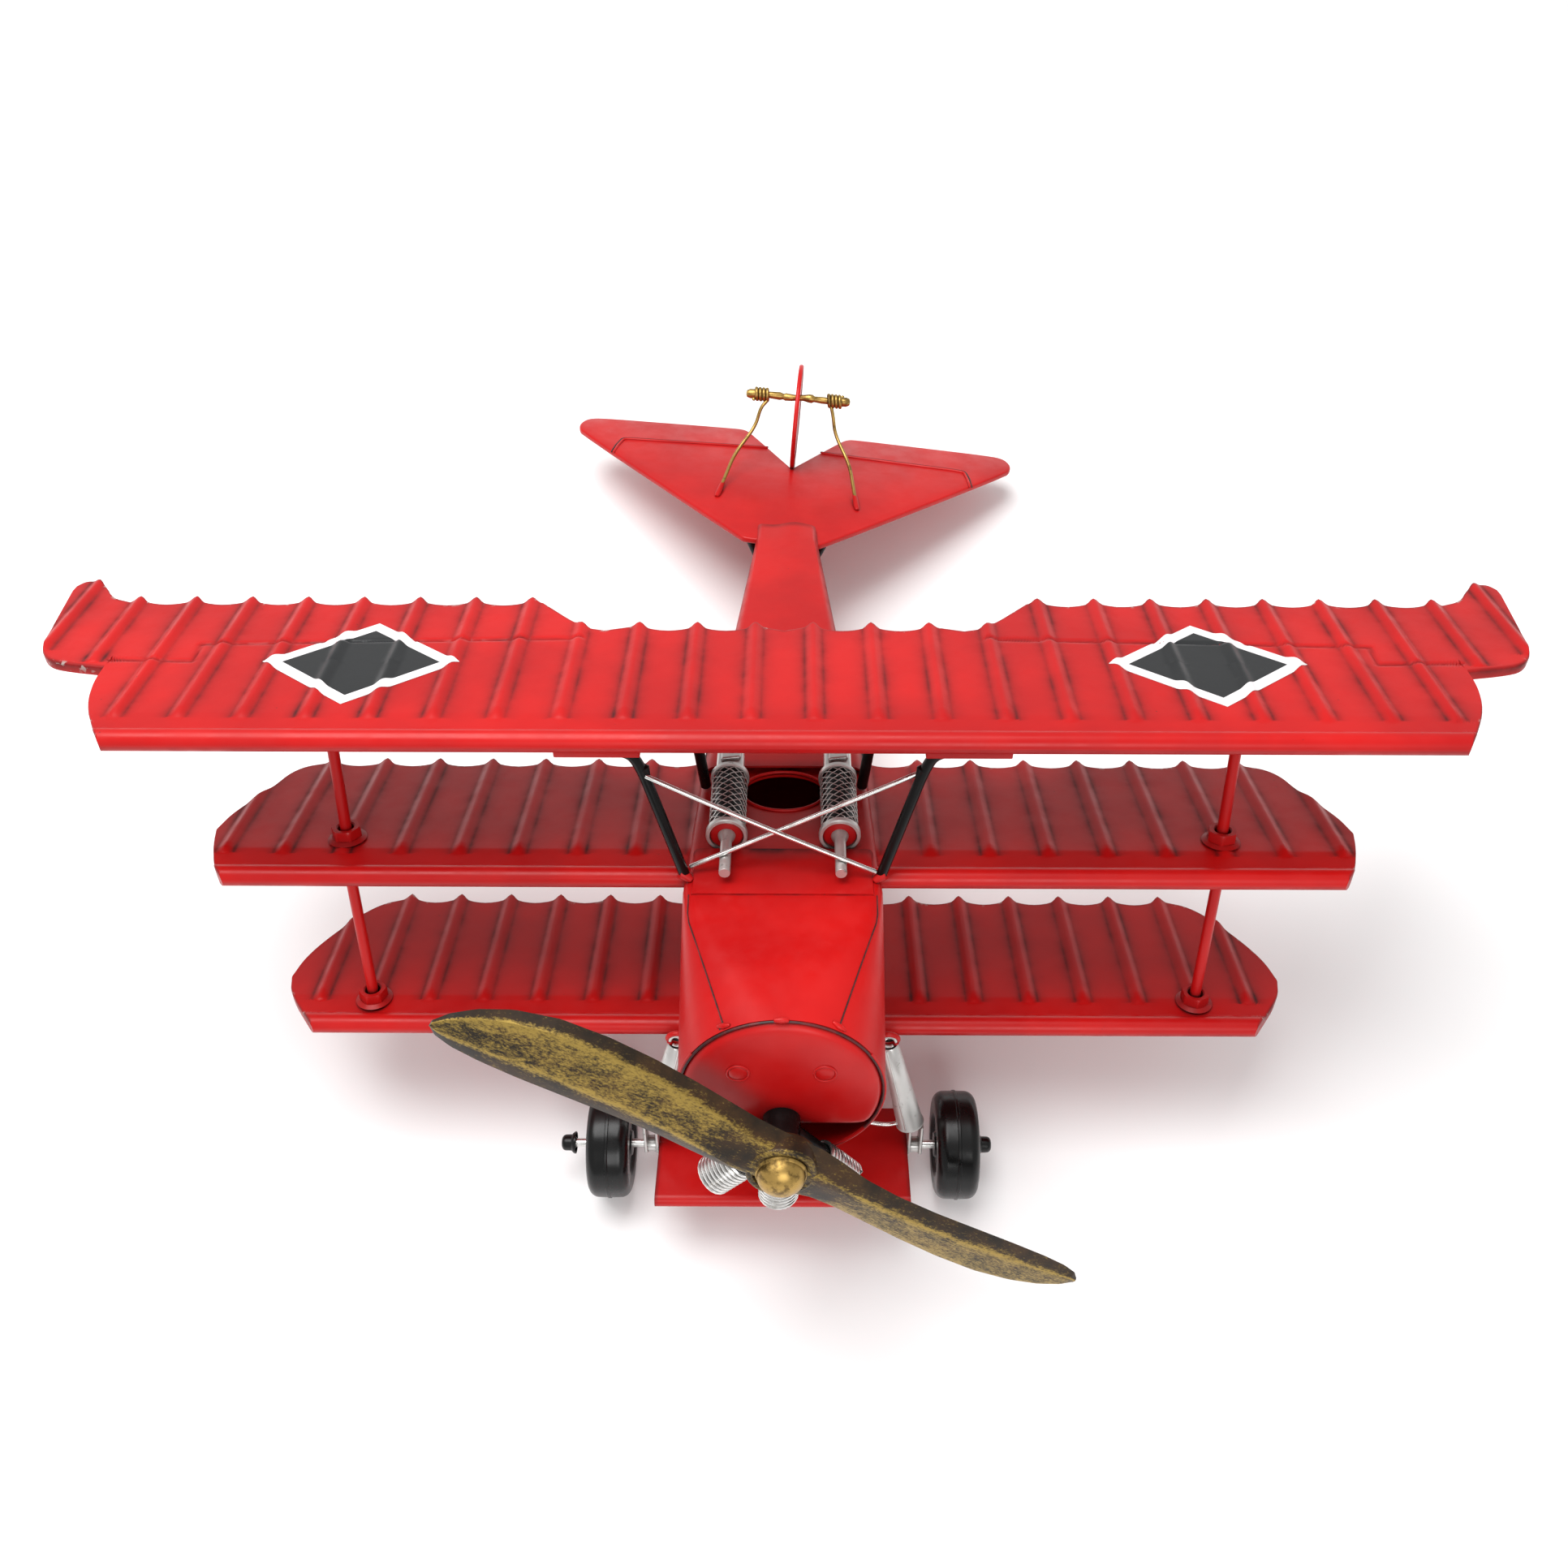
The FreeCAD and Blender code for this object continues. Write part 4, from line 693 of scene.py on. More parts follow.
def add_marks():
    """Plain bordered lozenges that follow the ribs under them."""
    across, deep, centre_y, border = 25.6, 20.2, 24.2, 0.80
    rings = [k / 26.0 * border for k in range(1, 27)]
    rings += [border + (1.0 - border) * k / 6.0 for k in range(1, 7)]
    around = 176
    both = Shape()
    for side in (-1, 1):
        cx = side * 7.02 * PITCH
        verts = [(cx, centre_y, 0.0)]
        for ring in rings:
            for k in range(around):
                quarter, share = divmod(k * 4 / around, 1.0)
                corners = [(1, 0), (0, 1), (-1, 0), (0, -1), (1, 0)]
                (ax, ay), (bx, by) = corners[int(quarter)], corners[int(quarter) + 1]
                x, y = ax + (bx - ax) * share, ay + (by - ay) * share
                verts.append((cx + x * across * ring, centre_y + y * deep * ring, 0.0))
        lifted = [(x, y, float(TOP.height(np.array(x), np.array(y))) + 0.16) for x, y, _ in verts]
        centre = [[0, 1 + k, 1 + (k + 1) % around] for k in range(around)]
        bands = [[1 + v for v in face] for face in grid_faces(len(rings), around, wrap_columns=True)]
        black = 25 * around
        both.add(lifted, centre + bands)
        inks = [0] * (len(centre) + black) + [1] * (len(bands) - black)
        both.inks[-len(inks):] = inks
    made = piece("wing_mark_film", both, "mark_paint", ["wing_marks"], materials=[INK, BORDER], sharp=80)
    thicken(made, 0.12)


def thicken(obj, gauge, offset=-1.0):
    """Gives an open sheet its gauge, in millimetres."""
    wall = obj.modifiers.new("gauge", "SOLIDIFY")
    wall.thickness = gauge * MM
    wall.offset = offset
    apply_modifiers(obj)
    obj.data.shade_smooth()
    obj.data.set_sharp_from_angle(angle=math.radians(38))


# ------------------------------------------------------------------ fuselage and cowl

def rounded_section(y, half, roof, floor, corner, arc_steps=10, run_steps=8):
    """A rounded rectangle across the fuselage, always with the same number of points."""
    corner = min(corner, half - 0.01, (roof - floor) / 2.0 - 0.01)
    points = []
    centres = [(half - corner, roof - corner, 0), (-half + corner, roof - corner, 90),
               (-half + corner, floor + corner, 180), (half - corner, floor + corner, 270)]
    for k, (cx, cz, start) in enumerate(centres):
        for step in range(arc_steps + 1):
            turn = math.radians(start + 90.0 * step / arc_steps)
            points.append(Vector((cx + corner * math.cos(turn), y, cz + corner * math.sin(turn))))
        nx, nz, next_start = centres[(k + 1) % 4]
        turn = math.radians(next_start)
        goal = Vector((nx + corner * math.cos(turn), y, nz + corner * math.sin(turn)))
        last = points[-1]
        points += [last.lerp(goal, step / run_steps) for step in range(1, run_steps)]
    return points


def tube_of(sections):
    """An open tube through sections."""
    verts = [v for section in sections for v in section]
    return Shape().add(verts, grid_faces(len(sections), len(sections[0]), wrap_columns=True))


def cowl_sizes(share):
    """Half width, roof, floor and corner radius of the cowl, from its square back (0) to its front (1)."""
    ease = share ** 1.25
    return (25.6 - 0.5 * share, -42.8 - 0.5 * share, -94.8 + 1.3 * share, 2.6 + 22.4 * ease)


COWL_BACK, COWL_FRONT = -15.6, -60.0


def cowl_top(x, share):
    """Height of the cowl's skin above a point, near its top."""
    half, roof, _, corner = cowl_sizes(share)
    reach = max(0.0, abs(x) - (half - corner))
    return roof - corner + math.sqrt(max(0.0, corner ** 2 - reach ** 2))


def add_cowl():
    steps = 22
    sections = []
    for k in range(steps + 1):
        share = k / steps
        y = COWL_BACK + (COWL_FRONT - COWL_BACK) * share
        half, roof, floor, corner = cowl_sizes(share)
        sections.append(rounded_section(y, half, roof, floor, corner, 16, 8))
    skin = tube_of(sections)
    made = piece("cowl_skin", skin, "red_enamel", ["cowl"], sharp=50)
    thicken(made, 0.8)
    for side in (-1, 1):
        fold = []
        for k in range(15):
            share = 0.06 + 0.90 * k / 14.0
            x = side * (23.9 - 10.4 * max(0.0, share - 0.22) / 0.78 - 0.4 * share)
            y = COWL_BACK + (COWL_FRONT - COWL_BACK) * share
            fold.append((x, y, cowl_top(x, share) + 0.02))
        fold.append((side * 14.4, COWL_FRONT + 0.6, cowl_top(14.4, 0.99) + 0.05))
        piece("cowl_fold_" + side_name(side), sweep(fold, 0.20, 8), "red_enamel", materials=SEAM)
        tab_x, tab_y = side * 13.4, COWL_FRONT + 1.0
        blob = [(tab_x + dx, tab_y + dy, cowl_top(tab_x + dx, 0.975) + 0.1)
                for dx, dy in ((-1.3, 0.6), (0.0, 0.0), (1.3, -0.3))]
        piece("rim_solder_" + side_name(side), sweep(blob, [0.5, 0.75, 0.4], 12, True), "red_enamel")
    crest = [(dx, COWL_FRONT - 0.3, cowl_top(dx, 1.0) + 0.15) for dx in (-1.5, 0.0, 1.5)]
    piece("rim_solder_middle", sweep(crest, [0.55, 0.8, 0.55], 12, True), "red_enamel")


def plate_reach(turn, radius, floor):
    """How far the nose plate reaches from the cowl's centre: round, with a level lower edge."""
    down = -math.sin(turn)
    if down <= 0.02:
        return radius
    level = floor / down
    return -math.log(math.exp(-radius / 1.1) + math.exp(-level / 1.1)) * 1.1 if level < 70 else radius


def add_nose_plate():
    """The domed face of the cowl with its rolled rim, dark joint line and two blind vents."""
    radius, centre_z, floor = 24.2, -68.4, 11.5
    rings = [0.0, 0.2, 0.4, 0.6, 0.75, 0.86, 0.92, 0.955, 0.975, 0.99, 1.0, 1.0]
    rise = [1.9, 1.88, 1.8, 1.68, 1.55, 1.45, 1.3, 1.0, 0.55, 0.1, -0.4, -2.2]
    around = 144
    verts = []
    for ring, out in zip(rings, rise):
        for k in range(around):
            turn = 2 * math.pi * k / around
            reach = plate_reach(turn, radius, floor) * ring
            verts.append((reach * math.cos(turn), COWL_FRONT - out, centre_z + reach * math.sin(turn)))
    face = Shape().add(verts, grid_faces(len(rings), around, wrap_columns=True))
    face.faces.append([(len(rings) - 1) * around + k for k in range(around)])
    face.inks.append(0)
    for side in (-1, 1):
        vent = (side * 10.3, COWL_FRONT - 1.72, -60.2)
        ring = [(vent[0] + 2.6 * math.cos(a), vent[1], vent[2] + 2.6 * math.sin(a))
                for a in (2 * math.pi * k / 32 for k in range(33))]
        face.join(sweep(ring, 0.30, 10))
        dome = [(0.0, 0.45), (1.2, 0.42), (2.1, 0.28), (2.5, 0.0)]
        face.join(lathe(dome, (vent[0], vent[1] + 0.1, vent[2]), (0, -1, 0), 32))
    piece("nose_plate_face", face, "red_enamel", ["nose_plate"], sharp=60)
    joint = []
    for k in range(121):
        turn = math.radians(-34.0 + 248.0 * k / 120.0)
        joint.append((24.55 * math.cos(turn), COWL_FRONT - 0.12, centre_z + 24.55 * math.sin(turn)))
    piece("nose_joint_line", sweep(joint, 0.34, 8), "red_enamel", materials=SEAM)
    lip = []
    for k in range(121):
        turn = math.radians(-212.0 + 244.0 * k / 120.0)
        lip.append((24.9 * math.cos(turn), COWL_FRONT + 0.1, centre_z + 24.9 * math.sin(turn)))
    piece("cowl_lip", sweep(lip, 0.42, 10), "red_enamel")


def add_nose_deck():
    """The sheet that laps from the cowl over the root of the middle wing, turned down at its corners."""
    front, back, half = -18.6, -1.6, 24.2
    columns, rows = 41, 15
    verts, wash = [], []
    for i in range(rows):
        y = front + (back - front) * i / (rows - 1)
        for j in range(columns):
            x = -half + 2 * half * j / (columns - 1)
            rise = 0.5 + 1.5 * max(0.0, (y + 9.0) / 7.4) ** 2 * (abs(x) < 22)
            sag = 0.9 * max(0.0, abs(x) - half + 1.6) ** 2
            verts.append((x, y, -42.8 + min(rise, 0.75) - sag))
            wash.append(0.75 * math.exp(-((y - back) / 1.6) ** 2) + 0.35 * math.exp(-((y - back) / 6.0) ** 2))
    sheet = Shape().add(verts, grid_faces(rows, columns), wash)
    made = piece("nose_deck_sheet", sheet, "red_enamel", ["nose_deck"])
    thicken(made, 0.6)


FUSELAGE = [(-15.6, 25.6, -42.8, -94.8), (10.0, 24.5, -43.6, -93.5), (34.4, 23.4, -45.0, -92.4),
            (98.0, 17.3, -45.0, -77.9), (162.0, 11.2, -45.0, -63.0), (190.0, 4.8, -45.0, -59.3),
            (207.0, 1.8, -45.0, -57.5)]


def ellipse_cutter(name, centre, reach, low, high, matrix=STAND):
    """A hidden oval used once to cut an opening."""
    outline = [(centre[0] + reach[0] * math.cos(a), centre[1] + reach[1] * math.sin(a))
               for a in (2 * math.pi * k / 64 for k in range(64))]
    cutter = slab(outline, low, high)
    mesh = bpy.data.meshes.new(name)
    mesh.from_pydata([matrix @ v for v in cutter.verts], [], cutter.faces)
    obj = bpy.data.objects.new(name, mesh)
    bpy.context.scene.collection.objects.link(obj)
    return obj


def cut_with(obj, cutter):
    """Subtracts the cutter and removes it."""
    knife = obj.modifiers.new("cut", "BOOLEAN")
    knife.object = cutter
    knife.solver = "EXACT"
    apply_modifiers(obj)
    bpy.data.objects.remove(cutter)
    obj.data.shade_smooth()
    obj.data.set_sharp_from_angle(angle=math.radians(38))


def add_fuselage():
    stations = []
    for (y0, h0, r0, f0), (y1, h1, r1, f1) in zip(FUSELAGE, FUSELAGE[1:]):
        for k in range(6):
            t = k / 6.0
            stations.append([a + (b - a) * t for a, b in zip((y0, h0, r0, f0), (y1, h1, r1, f1))])
    stations.append(list(FUSELAGE[-1]))
    sections = [rounded_section(y, half, roof, floor, min(2.6, half * 0.7), 6, 10)
                for y, half, roof, floor in stations]
    box = tube_of(sections)
    box.faces.append([(len(sections) - 1) * len(sections[0]) + k for k in range(len(sections[0]))])
    box.inks.append(0)
    made = piece("fuselage_skin", box, "red_enamel", ["fuselage_shell"], sharp=50)
    thicken(made, 0.8)
    cut_with(made, ellipse_cutter("cockpit_cutter", (0.0, 25.0), (11.4, 8.6), -60.0, -30.0))
    rim = [(11.6 * math.cos(a), 25.0 + 8.8 * math.sin(a), -43.95 - 0.02 * (8.8 * math.sin(a)))
           for a in (2 * math.pi * k / 72 for k in range(73))]
    piece("cockpit_rim", sweep(rim, 0.45, 12), "red_enamel")
    for side in (-1, 1):
        run = [(side * (half - 0.1), y, -45.05) for y, half in ((36.0, 23.2), (98.0, 17.25), (160.0, 11.3))]
        piece("deck_joint_" + side_name(side), sweep(run, 0.32, 8), "red_enamel", materials=SEAM)
        seam = [(side * half * 0.985, y, floor + 1.0) for y, half, roof, floor in FUSELAGE[:-1]]
        piece("belly_joint_" + side_name(side), sweep(seam, 0.34, 8), "red_enamel", materials=SEAM)


def add_rear_deck():
    """The lid behind the cockpit: crowned, with turned-down sides and a lapped end."""
    columns, rows = 33, 44
    verts, wash = [], []
    for i in range(rows):
        t = i / (rows - 1)
        y = 34.2 + (173.4 - 34.2) * t
        half = 23.2 - (23.2 - 11.1) * min(1.0, (y - 34.2) / 127.8)
        half = half if y < 162 else 11.1 - 0.8 * (y - 162) / 11.4
        crown = -42.2 + 2.9 * min(1.0, (y - 34.2) / 127.8)
        lap = max(0.0, (y - 160.0) / 13.4)
        for j in range(columns):
            u = -1.0 + 2.0 * j / (columns - 1)
            bow = abs(u) ** 2
            drop = 0.6 * bow + (2.2 - 1.5 * lap) * max(0.0, (abs(u) - 0.86) / 0.14) ** 1.6
            wave = 0.18 * lap * math.sin(5.0 * u + 0.6)
            verts.append((u * half, y + 0.6 * lap * math.sin(4.0 * u), crown - drop + wave))
            wash.append(max(0.8 * math.exp(-((1.0 - abs(u)) * half / 0.9) ** 2),
                            0.7 * math.exp(-((y - 173.4) / 0.8) ** 2),
                            0.5 * math.exp(-((y - 34.2) / 1.2) ** 2)))
    lid = Shape().add(verts, grid_faces(rows, columns), wash)
    made = piece("rear_deck_sheet", lid, "red_enamel", ["rear_deck"], sharp=60)
    thicken(made, 0.7)


# ------------------------------------------------------------------ engine and propeller

def add_engine():
    """Wire-wound cylinders: one bright wire round each, ending in a turned-in loose end."""
    hub = Vector((0.0, ENGINE_Y, THRUST_Z))
    wire, outer = 0.58, 5.2
    for name, angle in (("left", 225.0), ("lower", 268.0), ("right", 311.0)):
        turn = math.radians(angle)
        axis = Vector((math.cos(turn), 0.0, math.sin(turn)))
        start = hub + axis * (12.6 + wire)
        points = helix(start, axis, outer - wire, 9.6, 2 * wire * 1.03)
        last = points[-1]
        inward = (hub + axis * (last - hub).dot(axis) - last).normalized()
        points += [last + inward * d + axis * 0.08 * d for d in (0.5, 1.4, 2.4, 3.2)]
        coil = sweep(points, wire, 10, True)
        coil.join(lathe([(0.0, 0.0), (3.9, 0.0), (3.9, 9.8), (3.4, 10.3), (0.0, 10.4)],
                        hub + axis * 12.0, axis, 32, 0.6))
        piece("cylinder_wire_" + name, coil, "bright_steel", ["cylinder_coil_" + name])


# radius, leading edge, trailing edge, thickness, forward lean of the two edges
BLADE_STATIONS = [
    (0.0, 8.4, -8.4, 6.6, 0.0, 0.0), (6.0, 8.8, -8.2, 6.6, 0.6, -0.6),
    (12.0, 8.4, -7.8, 6.2, 1.4, -1.6), (20.0, 7.0, -8.8, 5.2, 2.0, -2.2),
    (30.0, 6.0, -10.4, 4.4, 2.0, -2.4), (42.0, 5.8, -12.0, 3.8, 1.9, -2.4),
    (54.0, 6.1, -12.9, 3.3, 1.7, -2.2), (66.0, 6.4, -12.6, 2.8, 1.5, -1.9),
    (76.0, 6.3, -10.2, 2.4, 1.2, -1.4), (83.0, 5.7, -6.6, 2.0, 0.9, -0.8),
    (87.5, 4.4, -2.6, 1.6, 0.6, -0.3), (89.6, 2.6, 0.6, 1.0, 0.3, 0.0),
]
# share of the chord, height as a share of the thickness, how much gold is rubbed on
BLADE_SECTION = [
    (0.0, 0.0, 0.15), (0.10, 0.38, 0.10), (0.20, 0.72, 0.30), (0.28, 0.93, 1.0), (0.36, 1.0, 0.62),
    (0.50, 0.99, 0.55), (0.64, 0.97, 0.62), (0.78, 0.95, 0.80), (0.86, 0.90, 1.0), (0.92, 0.52, 0.12),
    (1.0, 0.0, 0.10), (0.88, -0.20, 0.05), (0.65, -0.30, 0.12), (0.35, -0.30, 0.12), (0.12, -0.20, 0.05),
]
HUB_BACK_Y, HUB_FRONT_Y, NUT_SEAT_Y = -71.4, -78.2, -77.0


def blade_section(radius, high, low, thick, lean_high, lean_low):
    """One section: a bevel, the broad front face between two ridges, a bevel, and the flatter back."""
    chord = high - low
    points, rubs = [], []
    for share, height, rub in BLADE_SECTION:
        side = high - chord * share
        lean = lean_high + (lean_low - lean_high) * share
        points.append((radius, -(lean + height * thick * 0.72 - 0.2 * thick), side))
        rubs.append(rub)
    return points, rubs


def blade_shape():
    """One blade from the hub to its round tip."""
    table = np.array(BLADE_STATIONS)
    tip = 84.0 + 5.7 * np.sin(np.linspace(0.1, math.pi / 2, 12))
    radii = np.concatenate([np.linspace(0.0, 84.0, 58), tip])
    verts, rubs = [], []
    count = len(BLADE_SECTION)
    for radius in radii:
        row = [float(np.interp(radius, table[:, 0], table[:, k])) for k in range(1, 6)]
        points, rub = blade_section(radius, *row)
        near = math.exp(-((radius - 13.0) / 7.0) ** 2) * 0.5
        verts += points
        rubs += [max(0.0, r - near) for r in rub]
    blade = Shape().add(verts, grid_faces(len(radii), count, wrap_columns=True), 0.0, rubs)
    blade.faces.append([(len(radii) - 1) * count + k for k in range(count)])
    blade.inks.append(0)
    return blade


def add_propeller():
    """Two scimitar blades, their boss with its raised lip, and the dome nut."""
    middle_y = (HUB_BACK_Y + HUB_FRONT_Y) / 2.0 + 0.4
    both = Shape()
    for half_turn in (0.0, math.pi):
        turn = Matrix.Rotation(BLADE_ANGLE + half_turn, 4, "Y")
        both.join(blade_shape().moved(Matrix.Translation((0, middle_y, THRUST_Z)) @ turn))
    boss = ([(2.1, 0.0), (7.6, 0.0)] + arc((7.6, 1.2), 1.0, -90, 0, 5) + [(8.6, 5.2)]
            + arc((7.5, 5.4), 1.1, 0, 90, 6) + [(6.9, 6.3), (6.7, 5.6), (2.1, 5.6), (2.1, 0.0)])
    hub = lathe(boss, (0.0, HUB_BACK_Y, THRUST_Z), (0, -1, 0), 72)
    hub.rub = [0.45 if v.y < NUT_SEAT_Y else 0.1 for v in hub.verts]
    both.join(hub)
    made = piece("propeller_blades", both, "antique_blade", ["propeller"], "propeller", sharp=24)
    smooth = made.modifiers.new("fine", "SUBSURF")
    smooth.subdivision_type = "SIMPLE"
    smooth.levels = 1
    apply_modifiers(made)
    made.data.shade_smooth()
    made.data.set_sharp_from_angle(angle=math.radians(24))
    dome = ([(2.02, 0.0), (6.1, 0.0)] + arc((6.1, 0.35), 0.35, -90, 60, 4) + [(6.05, 1.15), (5.85, 1.25)]
            + [(5.8 * math.cos(a), 1.25 + 4.35 * math.sin(a))
               for a in (math.pi / 2 * k / 14 for k in range(1, 14))]
            + [(0.0, 5.6)])
    nut = lathe(dome, (0.0, NUT_SEAT_Y, THRUST_Z), (0, -1, 0), 72)
    piece("propeller_dome_nut", nut, "brass", ["propeller_nut"], "propeller", sharp=40)


# ------------------------------------------------------------------ struts, wires and guns

OUTER_STRUT_X = 117.0
OUTER_STRUT_RADIUS = 1.5
NUT_FLATS, NUT_HEIGHT, NUT_BORE = 7.0, 3.3, 2.15


def nut_shape(turn):
    """A hexagon nut with chamfered crowns and an open bore."""
    sides, blunt, chamfer, lead_in = 48, 0.985, 0.93, 0.35
    corner = NUT_FLATS / math.sqrt(3.0)
    outer = [(0.0, False), (0.12, True), (0.86, True), (1.0, False)]
    inner = [(1.0, lead_in), (0.90, 0.0), (0.0, 0.0)]
    verts = []
    for level, full in outer:
        for angle in circle(sides):
            local = (angle - turn) % (math.pi / 3) - math.pi / 6
            reach = min(NUT_FLATS / 2.0 / math.cos(local), corner * blunt * (1.0 if full else chamfer))
            reach = reach * (1.0 if full else blunt)
            verts.append((reach * math.cos(angle), reach * math.sin(angle), level * NUT_HEIGHT))
    for level, wider in inner:
        wide = NUT_BORE + wider
        verts += [(wide * math.cos(a), wide * math.sin(a), level * NUT_HEIGHT) for a in circle(sides)]
    faces = grid_faces(len(outer) + len(inner), sides, wrap_rows=True, wrap_columns=True)
    return Shape().add(verts, faces, 0.25)


def add_struts():
    """Rods between the wings, each in a nut with a skirt of solder and paint at its foot."""
    nuts, washers = Shape(), Shape()
    skirt_profile = [(2.1, 0.0), (5.1, -0.1), (4.5, 0.25), (3.9, 0.6), (2.1, 0.6)]
    ring_profile = [(1.6, 0.0), (3.5, 0.0), (3.8, 0.2), (3.8, 0.7), (3.5, 0.9), (1.6, 0.9)]
    # name, y of the head and of the foot, the wing above with its chord, the wing below, turn of the nut
    spans = [("upper", 13.9, 5.9, TOP, 70.0, MIDDLE, 7.0), ("lower", 2.2, -3.9, MIDDLE, 46.6, LOWER, 22.0)]
    for name, head_y, foot_y, roof, chord, floor, nut_turn in spans:
        roof_gauge = 3.6 - 2.4 * max(0.0, head_y - roof.front) / chord
        head_z = float(roof.skin(np.array(head_y))) - roof_gauge
        foot_z = float(floor.skin(np.array(foot_y)))
        lean = Matrix.Rotation(-math.atan(floor.fall), 4, "X")
        for side in (-1, 1):
            x = side * OUTER_STRUT_X
            rod = sweep([(x, foot_y, foot_z + 0.9), (x, head_y, head_z + 0.3)], OUTER_STRUT_RADIUS, 24)
            piece("%s_rod_%s" % (name, side_name(side)), rod, "red_enamel",
                  ["%s_strut_%s" % (name, side_name(side))])
            nut = nut_shape(math.radians(side * 9.0 + nut_turn))
            nut.join(lathe(skirt_profile, (0, 0, -0.15), (0, 0, 1), 40, 0.5))
            nuts.join(nut.moved(Matrix.Translation((x, foot_y, foot_z + 0.75)) @ lean))
            ring = lathe(ring_profile, (0, 0, -1.0), (0, 0, 1), 40)
            washers.join(ring.moved(Matrix.Translation((x, head_y, head_z - 0.05))))
    piece("strut_nut_set", nuts, "red_enamel", ["strut_nuts"], sharp=28)
    piece("strut_washer_set", washers, "red_enamel", ["strut_washers"], sharp=30)


ELBOW = (35.0, -5.4, -12.6)
CABANE_BASE = (25.2, -12.4, -41.4)
CABANE_RADIUS = 1.42
WIRE_RADIUS = 0.62


def add_cabane():
    """Black bars bent out under the wing, their red foot plates, and the crossed wires."""
    plate_plan = ((34.6, -9.6), (55.6, -9.6), (55.6, -1.4), (34.6, -1.4))
    for side in (-1, 1):
        name = side_name(side)
        plate = slab([(side * x, y) for x, y in plate_plan], -6.3, -3.8, 0.2)
        piece("cabane_plate_" + name, plate, "red_enamel", ["cabane_foot_" + name], bevel=0.35)
        corners = [(45.0, ELBOW[1], -7.2), (37.6, ELBOW[1], -7.4), ELBOW, CABANE_BASE]
        bar = bend(mirrored(corners, side), 4.6, 8)
        piece("cabane_bar_" + name, sweep(bar, CABANE_RADIUS, 20, True), "black_enamel",
              ["front_cabane_" + name])
        rear = mirrored([(21.8, 27.4, -43.9), (25.6, 20.3, -3.6)], side)
        piece("cabane_rear_" + name, sweep(rear, 1.5, 20), "black_enamel", ["rear_cabane_" + name])
        base_solder = mirrored([(23.6, -13.4, -42.4), (25.3, -12.5, -41.3), (26.4, -12.0, -42.6)], side)
        piece("cabane_solder_" + name, sweep(base_solder, [0.9, 1.75, 0.8], 14, True), "red_enamel")
        elbow_solder = mirrored([(33.4, -6.2, -14.6), (34.5, -5.4, -13.0), (35.6, -5.0, -11.6)], side)
        piece("elbow_solder_" + name, sweep(elbow_solder, [0.7, 1.75, 0.9], 14, True), "black_enamel")
    steps = 12
    for name, side, shift in (("a", -1, -0.9), ("b", 1, 0.9)):
        high = Vector((side * (ELBOW[0] - 1.2), ELBOW[1] - 0.6 + shift, ELBOW[2] - 1.4))
        low = Vector((-side * (CABANE_BASE[0] - 1.6), CABANE_BASE[1] + 0.6 + shift, CABANE_BASE[2] + 1.3))
        sway = Vector((0.0, 0.25 * side, -0.35))
        route = [low.lerp(high, k / steps) + sway * math.sin(math.pi * (k / steps)) for k in range(steps + 1)]
        piece("cross_wire_" + name, sweep(route, WIRE_RADIUS, 12, True), "bright_steel",
              ["brace_wire_" + name])


GUN_X, GUN_Z = 14.8, -38.6
JACKET_FRONT, JACKET_REAR = -0.8, 25.4
MESH_RADIUS, STRAND_RADIUS = 4.75, 0.13


def gun_mesh(x):
    """Two sets of strands wound against each other, so that they cross in diamonds."""
    strands, turns, steps = 10, 0.9, 56
    length = JACKET_REAR - JACKET_FRONT - 4.6
    mesh = Shape()
    for way in (-1, 1):
        for k in range(strands):
            line = []
            for j in range(steps + 1):
                t = j / steps
                turn = 2 * math.pi * (k / strands + way * turns * t)
                reach = MESH_RADIUS + 0.12 * way * math.sin(2 * math.pi * strands * turns * t)
                line.append((x + reach * math.cos(turn), JACKET_FRONT + 2.3 + length * t,
                             GUN_Z + reach * math.sin(turn)))
            mesh.join(sweep(line, STRAND_RADIUS, 6))
    return mesh


